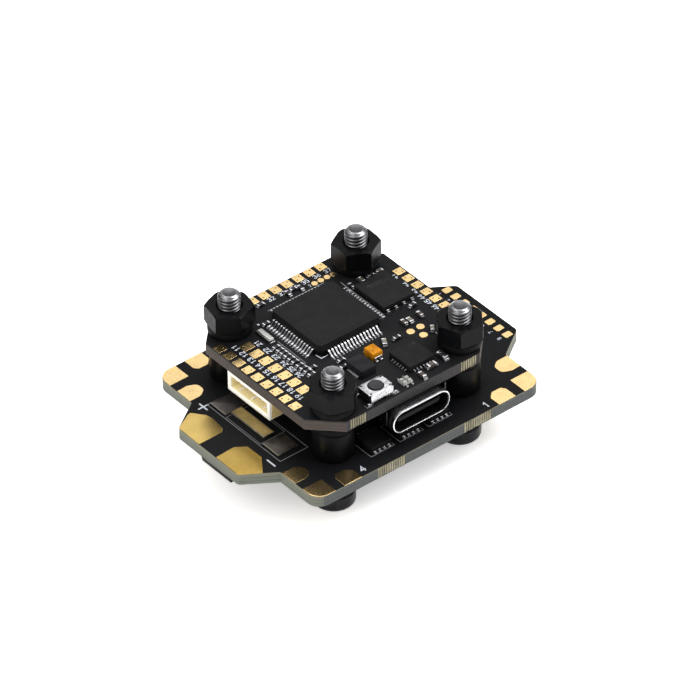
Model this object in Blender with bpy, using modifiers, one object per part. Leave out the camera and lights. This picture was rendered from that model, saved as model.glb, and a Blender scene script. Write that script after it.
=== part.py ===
"""Flight controller stack: a flight controller board above a four-in-one motor controller board.

Units are metres, +Z is up and +X is the nose of the aircraft. The origin is the centre of the
20 mm screw square, at the underside of the screw heads.
"""
import math

import bmesh
import bpy

MM = 0.001
GAP = 0.03 * MM                      # clearance kept between neighbouring solids
MERGE = 0.0000005
TURN_STEPS = 24
SMOOTH_ANGLE = math.radians(35)

# Screw square
HOLE_PITCH = 20.0 * MM
HALF_PITCH = HOLE_PITCH / 2
SQUARE_X = -0.41 * MM                   # the screw square's centre, off the motor controller
SQUARE_Y = 0.33 * MM                    # board's own centre
CORNERS = {
    "front_left": (1, 1),
    "front_right": (1, -1),
    "rear_left": (-1, 1),
    "rear_right": (-1, -1),
}

# M3 x 18 low-head screws, standing head down
SCREW_RADIUS = 1.475 * MM
SCREW_LENGTH = 18.0 * MM
SCREW_END_CHAMFER = 0.35 * MM
HEAD_RADIUS = 2.75 * MM
HEAD_HEIGHT = 2.0 * MM
HEAD_ROUND = 0.3 * MM
SOCKET_ACROSS_FLATS = 2.0 * MM
SOCKET_DEPTH = 1.2 * MM
BORE_RADIUS = 1.6 * MM

# Levels of the stack, from the heads up
ESC_GROMMET_BOTTOM = HEAD_HEIGHT + GAP
ESC_THICKNESS = 1.65 * MM
ESC_BOTTOM = 5.88 * MM
ESC_TOP = ESC_BOTTOM + ESC_THICKNESS
BOARD_GAP = 5.2 * MM
FC_THICKNESS = 1.6 * MM
FC_BOTTOM = ESC_TOP + BOARD_GAP
FC_TOP = FC_BOTTOM + FC_THICKNESS
FLANGE_HEIGHT = 1.05 * MM
FLANGE_TOP = FC_TOP + GAP + FLANGE_HEIGHT
NUT_BOTTOM = FLANGE_TOP + GAP
NUT_HEIGHT = 2.66 * MM
SCREW_TOP = HEAD_HEIGHT + SCREW_LENGTH

# Grommets and spacers
BOARD_HOLE_RADIUS = 2.0 * MM
NECK_RADIUS = BOARD_HOLE_RADIUS - 0.05 * MM
ESC_FLANGE_RADIUS = 2.75 * MM
FC_TOP_FLANGE_RADIUS = 2.8 * MM
FC_LOW_FLANGE_RADIUS = 2.65 * MM
FC_LOW_FLANGE_HEIGHT = 1.0 * MM
SPACER_RADIUS = 2.6 * MM
RUBBER_EDGE = 0.15 * MM

# Hexagonal nuts: each one stopped at its own angle when it was tightened
NUT_ACROSS_CORNERS = 6.35 * MM
NUT_CHAMFER_HEIGHT = 0.3 * MM
NUT_TURNS = {"front_left": 27.9, "front_right": 52.5, "rear_left": 19.0, "rear_right": 44.3}

# Motor controller board outline
ESC_HALF_X = 17.9 * MM
ESC_HALF_Y = 15.75 * MM
ESC_TAB_TIP_X = 22.2 * MM
ESC_TAB_TIP_Y = 5.8 * MM
ESC_TAB_ROOT_Y = 8.7 * MM
ESC_CORNER_RADIUS = 1.9 * MM
ESC_TAB_RADIUS = 0.8 * MM

# Flight controller board outline
FC_HALF_X = 14.15 * MM
FC_HALF_Y = 13.25 * MM
FC_CHAMFER = 3.65 * MM
FC_CORNER_RADIUS = 0.25 * MM
ARC_STEPS = 5

# Boot button
BUTTON_X = -4.45 * MM
BUTTON_Y = -11.4 * MM
BUTTON_LENGTH = 3.75 * MM
BUTTON_WIDTH = 2.6 * MM
BUTTON_HEIGHT = 1.43 * MM
BUTTON_SHEET = 0.15 * MM
BUTTON_BEND = 0.2 * MM
BUTTON_STANDOFF = 0.1 * MM
BUTTON_HOLE_RADIUS = 1.0 * MM
PLUNGER_RADIUS = 0.93 * MM
PLUNGER_FLANGE_RADIUS = 1.02 * MM
PLUNGER_FLANGE_HEIGHT = 0.2 * MM
PLUNGER_PROUD = 0.22 * MM
PLUNGER_TRAVEL = 0.2 * MM
WELL_RADIUS = 1.07 * MM

# USB-C receptacle under the flight controller board
USB_X = 0.25 * MM
USB_MOUTH_Y = -14.5 * MM
USB_WIDTH = 8.94 * MM
USB_HEIGHT = 3.2 * MM
USB_LENGTH = 7.3 * MM
USB_WALL = 0.3 * MM
USB_TONGUE_WIDTH = 6.7 * MM
USB_TONGUE_THICKNESS = 0.7 * MM
USB_TONGUE_RECESS = 0.6 * MM
USB_BASE_LENGTH = 2.2 * MM

# Cable socket under the flight controller board, mouth towards the battery side
CABLE_SOCKET_WIDTH = 8.2 * MM
CABLE_SOCKET_HEIGHT = 2.95 * MM
CABLE_SOCKET_DEPTH = 4.25 * MM
CABLE_SOCKET_Y = 1.35 * MM
CABLE_SOCKET_WALL = 0.6 * MM
CABLE_SOCKET_MOUTH_DEPTH = 3.2 * MM

# Power transistors and motor processors on the motor controller board
MOSFET_SIDE = 3.2 * MM
MOSFET_HEIGHT = 0.9 * MM
MOSFET_COLUMNS = (-5.7 * MM, -1.15 * MM, 3.4 * MM)
MOSFET_ROWS = (-11.6 * MM, -7.6 * MM, 7.6 * MM, 11.6 * MM)
MOTOR_CHIP_SIDE = 3.0 * MM
MOTOR_CHIP_HEIGHT = 0.85 * MM
MOTOR_CHIP_X = 6.2 * MM
MOTOR_CHIP_Y = 2.9 * MM

# Current shunt: a raised resistance bar between two terminal plates
SHUNT_BAR = (1.75 * MM, 6.55 * MM, 0.37 * MM)
SHUNT_BAR_X = -14.72 * MM
SHUNT_BAR_Y = 0.64 * MM
SHUNT_PLATE_X = -14.65 * MM
SHUNT_PLATE_WIDTH = 3.3 * MM
SHUNT_PLATE_LENGTH = 3.15 * MM
SHUNT_PLATE_HEIGHT = 0.2 * MM
SHUNT_PLATE_Y = {"plus": 5.56 * MM, "minus": -4.74 * MM}

# Surge diode under the battery tab
DIODE = (4.6 * MM, 6.3 * MM, 1.1 * MM)
DIODE_X = -19.55 * MM
DIODE_Y = -1.05 * MM

CHIP_EDGE = 0.06 * MM
CUTTER_MARGIN = 1.0 * MM


def clear_scene():
    """Remove whatever objects and collections the file opened with."""
    for scene_object in list(bpy.data.objects):
        bpy.data.objects.remove(scene_object, do_unlink=True)
    for collection in list(bpy.data.collections):
        bpy.data.collections.remove(collection)


def new_collection(name):
    """Make a collection under the scene's own."""
    collection = bpy.data.collections.new(name)
    bpy.context.scene.collection.children.link(collection)
    return collection


clear_scene()
PARTS = new_collection("flight_controller_stack")
CUTTERS = new_collection("cutters")


# ---------------------------------------------------------------- materials

def make_material(name, colour, roughness, metallic=0.0):
    """A plain Principled material."""
    material = bpy.data.materials.new(name)
    material.use_nodes = True
    shader = material.node_tree.nodes["Principled BSDF"]
    shader.inputs["Base Color"].default_value = (*colour, 1.0)
    shader.inputs["Roughness"].default_value = roughness
    shader.inputs["Metallic"].default_value = metallic
    return material


BOARD_BLACK = make_material("board_black", (0.035, 0.036, 0.040), 0.45)
BOARD_GREEN_GREY = make_material("board_green_grey", (0.050, 0.053, 0.056), 0.45)
CHIP_BLACK = make_material("chip_black", (0.060, 0.061, 0.063), 0.6)
FET_BLACK = make_material("fet_black", (0.020, 0.020, 0.022), 0.5)
RUBBER_BLACK = make_material("rubber_black", (0.014, 0.014, 0.016), 0.55)
NYLON_BLACK = make_material("nylon_black", (0.018, 0.018, 0.020), 0.4)
SCREW_STEEL = make_material("screw_steel", (0.32, 0.32, 0.33), 0.32, 1.0)
PLATED_STEEL = make_material("plated_steel", (0.72, 0.72, 0.74), 0.25, 1.0)
SHELL_STEEL = make_material("shell_steel", (0.10, 0.10, 0.11), 0.3, 1.0)
INSULATOR_BLACK = make_material("insulator_black", (0.012, 0.012, 0.013), 0.5)
SOCKET_CREAM = make_material("socket_cream", (0.78, 0.74, 0.62), 0.45)
TANTALUM_YELLOW = make_material("tantalum_yellow", (0.80, 0.50, 0.07), 0.4)
FERRITE_GREY = make_material("ferrite_grey", (0.070, 0.070, 0.078), 0.65)
LED_WHITE = make_material("led_white", (0.80, 0.81, 0.77), 0.35)
BUTTON_GREY = make_material("button_grey", (0.16, 0.16, 0.165), 0.5)
SHUNT_ALLOY = make_material("shunt_alloy", (0.55, 0.50, 0.36), 0.3, 1.0)
SHUNT_PLATED = make_material("shunt_plated", (0.30, 0.28, 0.26), 0.22, 1.0)


# ---------------------------------------------------------------- modelling helpers

def link_to(collection, item):
    """Move an object into one collection only."""
    for old_collection in list(item.users_collection):
        old_collection.objects.unlink(item)
    collection.objects.link(item)
    return item


def finish_part(item, name, material):
    """Name a solid, give it its material and file it with the parts."""
    item.name = name
    item.data.name = name
    item.data.materials.clear()
    item.data.materials.append(material)
    return link_to(PARTS, item)


def make_cutter(item, name):
    """File a solid that only shapes others."""
    item.name = name
    item.hide_render = True
    item.display_type = "WIRE"
    return link_to(CUTTERS, item)


def add_boolean(target, cutter, operation="DIFFERENCE"):
    """Cut, join or intersect a solid with a cutter."""
    modifier = target.modifiers.new(cutter.name, "BOOLEAN")
    modifier.operation = operation
    modifier.solver = "EXACT"
    modifier.object = cutter


def add_bevel(item, width, segments=1):
    """Break a solid's sharp edges."""
    modifier = item.modifiers.new("edge", "BEVEL")
    modifier.width = width
    modifier.segments = segments
    modifier.limit_method = "ANGLE"
    modifier.angle_limit = SMOOTH_ANGLE


def smooth_by_angle(item):
    """Shade round faces smooth and keep the corners sharp."""
    item.data.shade_smooth()
    item.data.set_sharp_from_angle(angle=SMOOTH_ANGLE)


def box_solid(size, centre):
    """A rectangular block with its scale applied."""
    bpy.ops.mesh.primitive_cube_add(size=1.0, location=centre)
    item = bpy.context.active_object
    item.scale = size
    bpy.context.view_layer.update()
    bpy.ops.object.transform_apply(location=False, rotation=False, scale=True)
    return item


def cylinder_solid(radius, bottom, top, x, y, vertices=TURN_STEPS, turn=0.0):
    """An upright cylinder or prism between two levels."""
    middle = (bottom + top) / 2
    bpy.ops.mesh.primitive_cylinder_add(
        vertices=vertices,
        radius=radius,
        depth=top - bottom,
        location=(x, y, middle),
        rotation=(0.0, 0.0, turn),
    )
    return bpy.context.active_object


def turned_solid(profile, x, y, closed):
    """A solid of revolution: the profile's (radius, height) points run down its outer side."""
    count = len(profile)
    vertices = [(radius, 0.0, height) for radius, height in profile]
    edges = [(index, index + 1) for index in range(count - 1)]
    if closed:
        edges.append((count - 1, 0))
    mesh = bpy.data.meshes.new("turned")
    mesh.from_pydata(vertices, edges, [])
    item = bpy.data.objects.new("turned", mesh)
    bpy.context.scene.collection.objects.link(item)
    item.location = (x, y, 0.0)
    modifier = item.modifiers.new("turn", "SCREW")
    modifier.axis = "Z"
    modifier.angle = 2 * math.pi
    modifier.steps = TURN_STEPS
    modifier.render_steps = TURN_STEPS
    modifier.use_merge_vertices = True
    modifier.merge_threshold = MERGE
    modifier.use_smooth_shade = False
    return item


def rounded_outline(corners):
    """Turn (x, y, radius) corners, counter-clockwise, into points with arcs at the corners."""
    points = []
    count = len(corners)
    for index, (x, y, radius) in enumerate(corners):
        before = corners[index - 1]
        after = corners[(index + 1) % count]
        if radius <= 0.0:
            points.append((x, y))
            continue
        to_before = math.atan2(before[1] - y, before[0] - x)
        to_after = math.atan2(after[1] - y, after[0] - x)
        opening = (to_before - to_after) % (2 * math.pi)
        inside = opening < math.pi
        half = opening / 2 if inside else math.pi - opening / 2
        bisector = to_after + opening / 2 + (0.0 if inside else math.pi)
        centre_distance = radius / math.sin(half)
        centre_x = x + centre_distance * math.cos(bisector)
        centre_y = y + centre_distance * math.sin(bisector)
        sweep = math.pi - 2 * half
        direction = 1 if inside else -1
        start = bisector + math.pi - direction * sweep / 2
        for step in range(ARC_STEPS + 1):
            angle = start + direction * sweep * step / ARC_STEPS
            points.append((centre_x + radius * math.cos(angle), centre_y + radius * math.sin(angle)))
    return points


def plate_solid(points, depth):
    """A flat outline given a thickness, centred on z = 0, as a welded mesh."""
    curve = bpy.data.curves.new("outline", "CURVE")
    curve.dimensions = "2D"
    curve.fill_mode = "BOTH"
    curve.extrude = depth / 2
    spline = curve.splines.new("POLY")
    spline.points.add(len(points) - 1)
    for point, (x, y) in zip(spline.points, points):
        point.co = (x, y, 0.0, 1.0)
    spline.use_cyclic_u = True
    outline = bpy.data.objects.new("outline", curve)
    bpy.context.scene.collection.objects.link(outline)
    bpy.context.view_layer.update()
    evaluated = outline.evaluated_get(bpy.context.evaluated_depsgraph_get())
    mesh = bpy.data.meshes.new_from_object(evaluated)
    welder = bmesh.new()
    welder.from_mesh(mesh)
    bmesh.ops.remove_doubles(welder, verts=welder.verts, dist=MERGE)
    bmesh.ops.recalc_face_normals(welder, faces=welder.faces)
    welder.to_mesh(mesh)
    welder.free()
    item = bpy.data.objects.new("plate", mesh)
    item.matrix_world = outline.matrix_world
    bpy.context.scene.collection.objects.link(item)
    bpy.data.objects.remove(outline, do_unlink=True)
    return item


def rectangle_corners(half_x, half_y, radius):
    """The four corners of a rectangle, counter-clockwise."""
    signs = ((1, 1), (-1, 1), (-1, -1), (1, -1))
    return [(sign_x * half_x, sign_y * half_y, radius) for sign_x, sign_y in signs]


def chip(name, side_x, side_y, height, x, y, board_level, material, hanging=False):
    """A component body standing on a board, or hanging under it."""
    offset = GAP + height / 2
    z = board_level - offset if hanging else board_level + offset
    item = box_solid((side_x, side_y, height), (x, y, z))
    add_bevel(item, CHIP_EDGE)
    return finish_part(item, name, material)


# ---------------------------------------------------------------- boards

def screw_hole_cutter(name, bottom, top):
    """One cutter with the four screw holes of a board."""
    holes = []
    for sign_x, sign_y in CORNERS.values():
        low = bottom - CUTTER_MARGIN
        high = top + CUTTER_MARGIN
        x = sign_x * HALF_PITCH
        y = sign_y * HALF_PITCH
        holes.append(cylinder_solid(BOARD_HOLE_RADIUS, low, high, x, y))
    bpy.ops.object.select_all(action="DESELECT")
    for hole in holes:
        hole.select_set(True)
    bpy.context.view_layer.objects.active = holes[0]
    bpy.ops.object.join()
    return make_cutter(bpy.context.active_object, name)


def esc_outline():
    """Wide board with a sloping tab at each end: battery pads at -X, signal pads at +X."""
    corners = []
    for sign in (1, -1):
        corners += [
            (sign * ESC_HALF_X, sign * -ESC_HALF_Y, ESC_CORNER_RADIUS),
            (sign * ESC_HALF_X, sign * -ESC_TAB_ROOT_Y, 0.0),
            (sign * ESC_TAB_TIP_X, sign * -ESC_TAB_TIP_Y, ESC_TAB_RADIUS),
            (sign * ESC_TAB_TIP_X, sign * ESC_TAB_TIP_Y, ESC_TAB_RADIUS),
            (sign * ESC_HALF_X, sign * ESC_TAB_ROOT_Y, 0.0),
            (sign * ESC_HALF_X, sign * ESC_HALF_Y, ESC_CORNER_RADIUS),
        ]
    return rounded_outline(corners)


def fc_outline():
    """Rectangle with its four corners cut off at 45 degrees."""
    corners = []
    for sign_x, sign_y in ((1, 1), (-1, 1), (-1, -1), (1, -1)):
        on_x = (sign_x * FC_HALF_X, sign_y * (FC_HALF_Y - FC_CHAMFER), FC_CORNER_RADIUS)
        on_y = (sign_x * (FC_HALF_X - FC_CHAMFER), sign_y * FC_HALF_Y, FC_CORNER_RADIUS)
        corners += [on_x, on_y] if sign_x * sign_y > 0 else [on_y, on_x]
    return rounded_outline(corners)


def make_board(name, outline, bottom, thickness, material):
    """A circuit board with its four screw holes."""
    board = plate_solid(outline, thickness)
    board.location.z = bottom + thickness / 2
    add_boolean(board, screw_hole_cutter(name + "_holes", bottom, bottom + thickness))
    return finish_part(board, name, material)


make_board("esc_board", esc_outline(), ESC_BOTTOM, ESC_THICKNESS, BOARD_GREEN_GREY)
make_board("fc_board", fc_outline(), FC_BOTTOM, FC_THICKNESS, BOARD_BLACK)


# ---------------------------------------------------------------- fasteners, spacers, grommets

def hexagon_radius(across_flats):
    """Corner radius of a hexagon."""
    return across_flats / math.sqrt(3)


def make_screw(corner, x, y):
    """Screw with a low round head, a hexagonal socket in its underside and a chamfered end."""
    profile = [
        (0.0, SCREW_TOP),
        (SCREW_RADIUS - SCREW_END_CHAMFER, SCREW_TOP),
        (SCREW_RADIUS, SCREW_TOP - SCREW_END_CHAMFER),
        (SCREW_RADIUS, HEAD_HEIGHT),
        (HEAD_RADIUS, HEAD_HEIGHT),
        (HEAD_RADIUS, HEAD_ROUND),
        (HEAD_RADIUS - HEAD_ROUND, 0.0),
        (0.0, 0.0),
    ]
    screw = turned_solid(profile, x, y, closed=False)
    socket_radius = hexagon_radius(SOCKET_ACROSS_FLATS)
    socket = cylinder_solid(socket_radius, -CUTTER_MARGIN, SOCKET_DEPTH, x, y, vertices=6)
    add_boolean(screw, make_cutter(socket, "socket_cutter_" + corner))
    return finish_part(screw, "screw_" + corner, SCREW_STEEL)


def make_esc_grommet(corner, x, y):
    """Rubber foot under the motor controller board, with a neck through the board's hole."""
    flange_top = ESC_BOTTOM - GAP
    profile = [
        (NECK_RADIUS, ESC_TOP),
        (NECK_RADIUS, flange_top),
        (ESC_FLANGE_RADIUS - RUBBER_EDGE, flange_top),
        (ESC_FLANGE_RADIUS, flange_top - RUBBER_EDGE),
        (ESC_FLANGE_RADIUS, ESC_GROMMET_BOTTOM + RUBBER_EDGE),
        (ESC_FLANGE_RADIUS - RUBBER_EDGE, ESC_GROMMET_BOTTOM),
        (BORE_RADIUS, ESC_GROMMET_BOTTOM),
        (BORE_RADIUS, ESC_TOP),
    ]
    grommet = turned_solid(profile, x, y, closed=True)
    return finish_part(grommet, "esc_grommet_" + corner, RUBBER_BLACK)


def make_spacer(corner, x, y):
    """Plain round spacer between the two boards."""
    top = FC_BOTTOM - GAP - FC_LOW_FLANGE_HEIGHT - GAP
    bottom = ESC_TOP + GAP
    profile = [
        (SPACER_RADIUS, top),
        (SPACER_RADIUS, bottom),
        (BORE_RADIUS, bottom),
        (BORE_RADIUS, top),
    ]
    spacer = turned_solid(profile, x, y, closed=True)
    return finish_part(spacer, "spacer_" + corner, NYLON_BLACK)


def make_fc_grommet(corner, x, y):
    """Rubber spool that holds the flight controller board between its two flanges."""
    low_top = FC_BOTTOM - GAP
    low_bottom = low_top - FC_LOW_FLANGE_HEIGHT
    high_bottom = FC_TOP + GAP
    profile = [
        (FC_TOP_FLANGE_RADIUS - RUBBER_EDGE, FLANGE_TOP),
        (FC_TOP_FLANGE_RADIUS, FLANGE_TOP - RUBBER_EDGE),
        (FC_TOP_FLANGE_RADIUS, high_bottom + RUBBER_EDGE),
        (FC_TOP_FLANGE_RADIUS - RUBBER_EDGE, high_bottom),
        (NECK_RADIUS, high_bottom),
        (NECK_RADIUS, low_top),
        (FC_LOW_FLANGE_RADIUS, low_top),
        (FC_LOW_FLANGE_RADIUS, low_bottom),
        (BORE_RADIUS, low_bottom),
        (BORE_RADIUS, FLANGE_TOP),
    ]
    grommet = turned_solid(profile, x, y, closed=True)
    return finish_part(grommet, "fc_grommet_" + corner, RUBBER_BLACK)


def make_nut(corner, x, y):
    """Hexagonal nut with its corners turned off at both ends."""
    turn = math.radians(NUT_TURNS[corner])
    top = NUT_BOTTOM + NUT_HEIGHT
    corner_radius = NUT_ACROSS_CORNERS / 2
    flat_radius = corner_radius * math.cos(math.pi / 6)
    nut = cylinder_solid(corner_radius, NUT_BOTTOM, top, x, y, vertices=6, turn=turn)
    bpy.ops.object.transform_apply(location=False, rotation=True, scale=False)
    wide_radius = corner_radius + CUTTER_MARGIN
    chamfer_slope = (corner_radius - flat_radius) / NUT_CHAMFER_HEIGHT
    reach = NUT_CHAMFER_HEIGHT + CUTTER_MARGIN / chamfer_slope
    profile = [
        (BORE_RADIUS, top),
        (flat_radius, top),
        (wide_radius, top - reach),
        (wide_radius, NUT_BOTTOM + reach),
        (flat_radius, NUT_BOTTOM),
        (BORE_RADIUS, NUT_BOTTOM),
    ]
    trimmer = turned_solid(profile, x, y, closed=True)
    add_boolean(nut, make_cutter(trimmer, "nut_trimmer_" + corner), "INTERSECT")
    return finish_part(nut, "nut_" + corner, NYLON_BLACK)


for corner_name, (corner_x, corner_y) in CORNERS.items():
    corner_place = (corner_name, corner_x * HALF_PITCH, corner_y * HALF_PITCH)
    make_screw(*corner_place)
    make_esc_grommet(*corner_place)
    make_spacer(*corner_place)
    make_fc_grommet(*corner_place)
    make_nut(*corner_place)


# ---------------------------------------------------------------- flight controller, top side

def make_top_components():
    """Bodies soldered to the flight controller board's upper face."""
    level = FC_TOP
    chip("processor", 10.0 * MM, 10.0 * MM, 1.42 * MM, -0.18 * MM, 3.4 * MM, level, CHIP_BLACK)
    chip("flash_memory", 5.0 * MM, 6.0 * MM, 0.8 * MM, 8.95 * MM, 3.2 * MM, level, CHIP_BLACK)
    chip("motion_sensor", 4.0 * MM, 4.0 * MM, 0.9 * MM, 3.3 * MM, -8.9 * MM, level, CHIP_BLACK)
    chip("power_inductor", 2.5 * MM, 3.2 * MM, 1.2 * MM, -2.8 * MM, -6.6 * MM, level, FERRITE_GREY)
    chip("tantalum_capacitor", 1.6 * MM, 2.0 * MM, 1.12 * MM, 0.05 * MM, -5.45 * MM, level,
         TANTALUM_YELLOW)
    chip("clock_crystal", 0.95 * MM, 2.7 * MM, 0.5 * MM, -7.72 * MM, 5.9 * MM, level, PLATED_STEEL)
    chip("status_led", 1.6 * MM, 1.3 * MM, 0.5 * MM, -0.15 * MM, -11.85 * MM, level, LED_WHITE)


make_top_components()


# ---------------------------------------------------------------- boot button

def make_button_cover():
    """Bent metal sheet over the button: a flat top with a round hole and two side skirts."""
    half = BUTTON_WIDTH / 2
    inner = half - BUTTON_SHEET
    low = FC_TOP + BUTTON_STANDOFF
    high = FC_TOP + BUTTON_HEIGHT
    under = high - BUTTON_SHEET
    section = rounded_outline([
        (half, high, BUTTON_BEND),
        (-half, high, BUTTON_BEND),
        (-half, low, 0.0),
        (-inner, low, 0.0),
        (-inner, under, 0.0),
        (inner, under, 0.0),
        (inner, low, 0.0),
        (half, low, 0.0),
    ])
    cover = plate_solid(section, BUTTON_LENGTH)
    cover.rotation_euler = (math.radians(90), 0.0, math.radians(90))
    cover.location = (BUTTON_X, BUTTON_Y, 0.0)
    hole_low = under - CUTTER_MARGIN / 2
    hole_high = high + CUTTER_MARGIN
    hole = cylinder_solid(BUTTON_HOLE_RADIUS, hole_low, hole_high, BUTTON_X, BUTTON_Y)
    add_boolean(cover, make_cutter(hole, "button_hole_cutter"))
    return finish_part(cover, "boot_button_cover", PLATED_STEEL)


def make_button_base():
    """Moulded body with a round well that the plunger's flange slides in."""
    top = FC_TOP + BUTTON_HEIGHT - BUTTON_SHEET - GAP
    bottom = FC_TOP + GAP
    width = BUTTON_WIDTH - 2 * (BUTTON_SHEET + GAP)
    size = (BUTTON_LENGTH, width, top - bottom)
    base = box_solid(size, (BUTTON_X, BUTTON_Y, (top + bottom) / 2))
    add_bevel(base, CHIP_EDGE)
    well_floor = top - PLUNGER_FLANGE_HEIGHT - PLUNGER_TRAVEL - 2 * GAP
    well = cylinder_solid(WELL_RADIUS, well_floor, top + CUTTER_MARGIN, BUTTON_X, BUTTON_Y)
    add_boolean(base, make_cutter(well, "button_well_cutter"))
    return finish_part(base, "boot_button_base", INSULATOR_BLACK)


def make_button_plunger():
    """Round plunger with a flange under the cover; its origin is on its own sliding axis."""
    flange_top = FC_TOP + BUTTON_HEIGHT - BUTTON_SHEET - GAP
    flange_bottom = flange_top - PLUNGER_FLANGE_HEIGHT
    top = FC_TOP + BUTTON_HEIGHT + PLUNGER_PROUD
    profile = [
        (0.0, top),
        (PLUNGER_RADIUS - CHIP_EDGE, top),
        (PLUNGER_RADIUS, top - CHIP_EDGE),
        (PLUNGER_RADIUS, flange_top),
        (PLUNGER_FLANGE_RADIUS, flange_top),
        (PLUNGER_FLANGE_RADIUS, flange_bottom),
        (0.0, flange_bottom),
    ]
    plunger = turned_solid(profile, BUTTON_X, BUTTON_Y, closed=False)
    return finish_part(plunger, "boot_button_plunger", BUTTON_GREY)


make_button_base()
make_button_cover()
make_button_plunger()


# ---------------------------------------------------------------- flight controller, underside

def make_usb_shell():
    """Drawn steel tube of the USB-C receptacle, open at both ends."""
    middle_z = FC_BOTTOM - GAP - USB_HEIGHT / 2
    middle_y = USB_MOUTH_Y + USB_LENGTH / 2
    outer_radius = USB_HEIGHT / 2 - MERGE
    inner_radius = outer_radius - USB_WALL
    outer = rounded_outline(rectangle_corners(USB_WIDTH / 2, USB_HEIGHT / 2, outer_radius))
    inner_half_x = USB_WIDTH / 2 - USB_WALL
    inner_half_y = USB_HEIGHT / 2 - USB_WALL
    inner = rounded_outline(rectangle_corners(inner_half_x, inner_half_y, inner_radius))
    shell = plate_solid(outer, USB_LENGTH)
    bore = plate_solid(inner, USB_LENGTH + 2 * CUTTER_MARGIN)
    for item in (shell, bore):
        item.rotation_euler = (math.radians(90), 0.0, 0.0)
        item.location = (USB_X, middle_y, middle_z)
    add_boolean(shell, make_cutter(bore, "usb_bore_cutter"))
    return finish_part(shell, "usb_shell", SHELL_STEEL)


def make_usb_tongue():
    """Insulator: a base that closes the back of the shell and the flat contact tongue."""
    middle_z = FC_BOTTOM - GAP - USB_HEIGHT / 2
    back_y = USB_MOUTH_Y + USB_LENGTH
    base_half_x = USB_WIDTH / 2 - USB_WALL - GAP
    base_half_y = USB_HEIGHT / 2 - USB_WALL - GAP
    corners = rectangle_corners(base_half_x, base_half_y, base_half_y - MERGE)
    base = plate_solid(rounded_outline(corners), USB_BASE_LENGTH)
    base.rotation_euler = (math.radians(90), 0.0, 0.0)
    base.location = (USB_X, back_y - USB_BASE_LENGTH / 2, middle_z)
    tip_y = USB_MOUTH_Y + USB_TONGUE_RECESS
    root_y = back_y - USB_BASE_LENGTH / 2
    size = (USB_TONGUE_WIDTH, root_y - tip_y, USB_TONGUE_THICKNESS)
    tongue = box_solid(size, (USB_X, (root_y + tip_y) / 2, middle_z))
    add_boolean(base, make_cutter(tongue, "usb_tongue_adder"), "UNION")
    return finish_part(base, "usb_tongue", INSULATOR_BLACK)


def make_cable_socket():
    """Moulded socket with a mouth towards -X, flush with the board's edge."""
    front_x = -FC_HALF_X + 0.1 * MM
    z = FC_BOTTOM - GAP - CABLE_SOCKET_HEIGHT / 2
    centre = (front_x + CABLE_SOCKET_DEPTH / 2, CABLE_SOCKET_Y, z)
    socket = box_solid((CABLE_SOCKET_DEPTH, CABLE_SOCKET_WIDTH, CABLE_SOCKET_HEIGHT), centre)
    add_bevel(socket, CHIP_EDGE)
    mouth_size = (
        CABLE_SOCKET_MOUTH_DEPTH + CUTTER_MARGIN,
        CABLE_SOCKET_WIDTH - 2 * CABLE_SOCKET_WALL,
        CABLE_SOCKET_HEIGHT - 2 * CABLE_SOCKET_WALL,
    )
    mouth_x = front_x - CUTTER_MARGIN + mouth_size[0] / 2
    mouth = box_solid(mouth_size, (mouth_x, CABLE_SOCKET_Y, z))
    add_boolean(socket, make_cutter(mouth, "socket_mouth_cutter"))
    return finish_part(socket, "cable_socket", SOCKET_CREAM)


def make_underside_components():
    """Bodies soldered under the flight controller board."""
    level = FC_BOTTOM
    chip("overlay_chip", 9.7 * MM, 4.4 * MM, 1.05 * MM, 1.5 * MM, 6.0 * MM, level, CHIP_BLACK,
         hanging=True)
    chip("voltage_regulator", 4.5 * MM, 2.5 * MM, 1.5 * MM, 8.6 * MM, -3.0 * MM, level,
         CHIP_BLACK, hanging=True)
    chip("pressure_sensor", 2.0 * MM, 2.5 * MM, 0.95 * MM, -3.5 * MM, -2.5 * MM, level,
         PLATED_STEEL, hanging=True)


make_usb_shell()
make_usb_tongue()
make_cable_socket()
make_underside_components()


# ---------------------------------------------------------------- motor controller board

def make_power_transistors():
    """Four rows of three square power packages."""
    number = 0
    for row_y in MOSFET_ROWS:
        for column_x in MOSFET_COLUMNS:
            number += 1
            chip(f"mosfet_{number:02d}", MOSFET_SIDE, MOSFET_SIDE, MOSFET_HEIGHT, column_x, row_y,
                 ESC_TOP, FET_BLACK)


def make_motor_processors():
    """One small processor for each motor."""
    for number, (sign_x, sign_y) in enumerate(CORNERS.values(), start=1):
        chip(f"motor_processor_{number}", MOTOR_CHIP_SIDE, MOTOR_CHIP_SIDE, MOTOR_CHIP_HEIGHT,
             sign_x * MOTOR_CHIP_X, sign_y * MOTOR_CHIP_Y, ESC_TOP, CHIP_BLACK)


def make_current_shunt():
    """Raised alloy bar between two flat terminal plates."""
    chip("shunt_bar", *SHUNT_BAR, SHUNT_BAR_X, SHUNT_BAR_Y, ESC_TOP, SHUNT_ALLOY)
    for side, plate_y in SHUNT_PLATE_Y.items():
        chip("shunt_terminal_" + side, SHUNT_PLATE_WIDTH, SHUNT_PLATE_LENGTH, SHUNT_PLATE_HEIGHT,
             SHUNT_PLATE_X, plate_y, ESC_TOP, SHUNT_PLATED)


make_power_transistors()
make_motor_processors()
make_current_shunt()
chip("surge_diode", *DIODE, DIODE_X, DIODE_Y, ESC_BOTTOM, FET_BLACK, hanging=True)


# ---------------------------------------------------------------- the screw square

LOWER_BOARD_PARTS = ("esc_board", "mosfet_", "motor_processor_", "shunt_", "surge_diode")


def move_to_screw_square():
    """Everything but the motor controller board and its parts is drawn round the screw square's
    centre, which isn't the middle of that board's outline."""
    for item in [*PARTS.objects, *CUTTERS.objects]:
        on_lower_board = item.name.startswith(LOWER_BOARD_PARTS) and item.name in PARTS.objects
        if not on_lower_board:
            item.location.x += SQUARE_X
            item.location.y += SQUARE_Y


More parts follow.
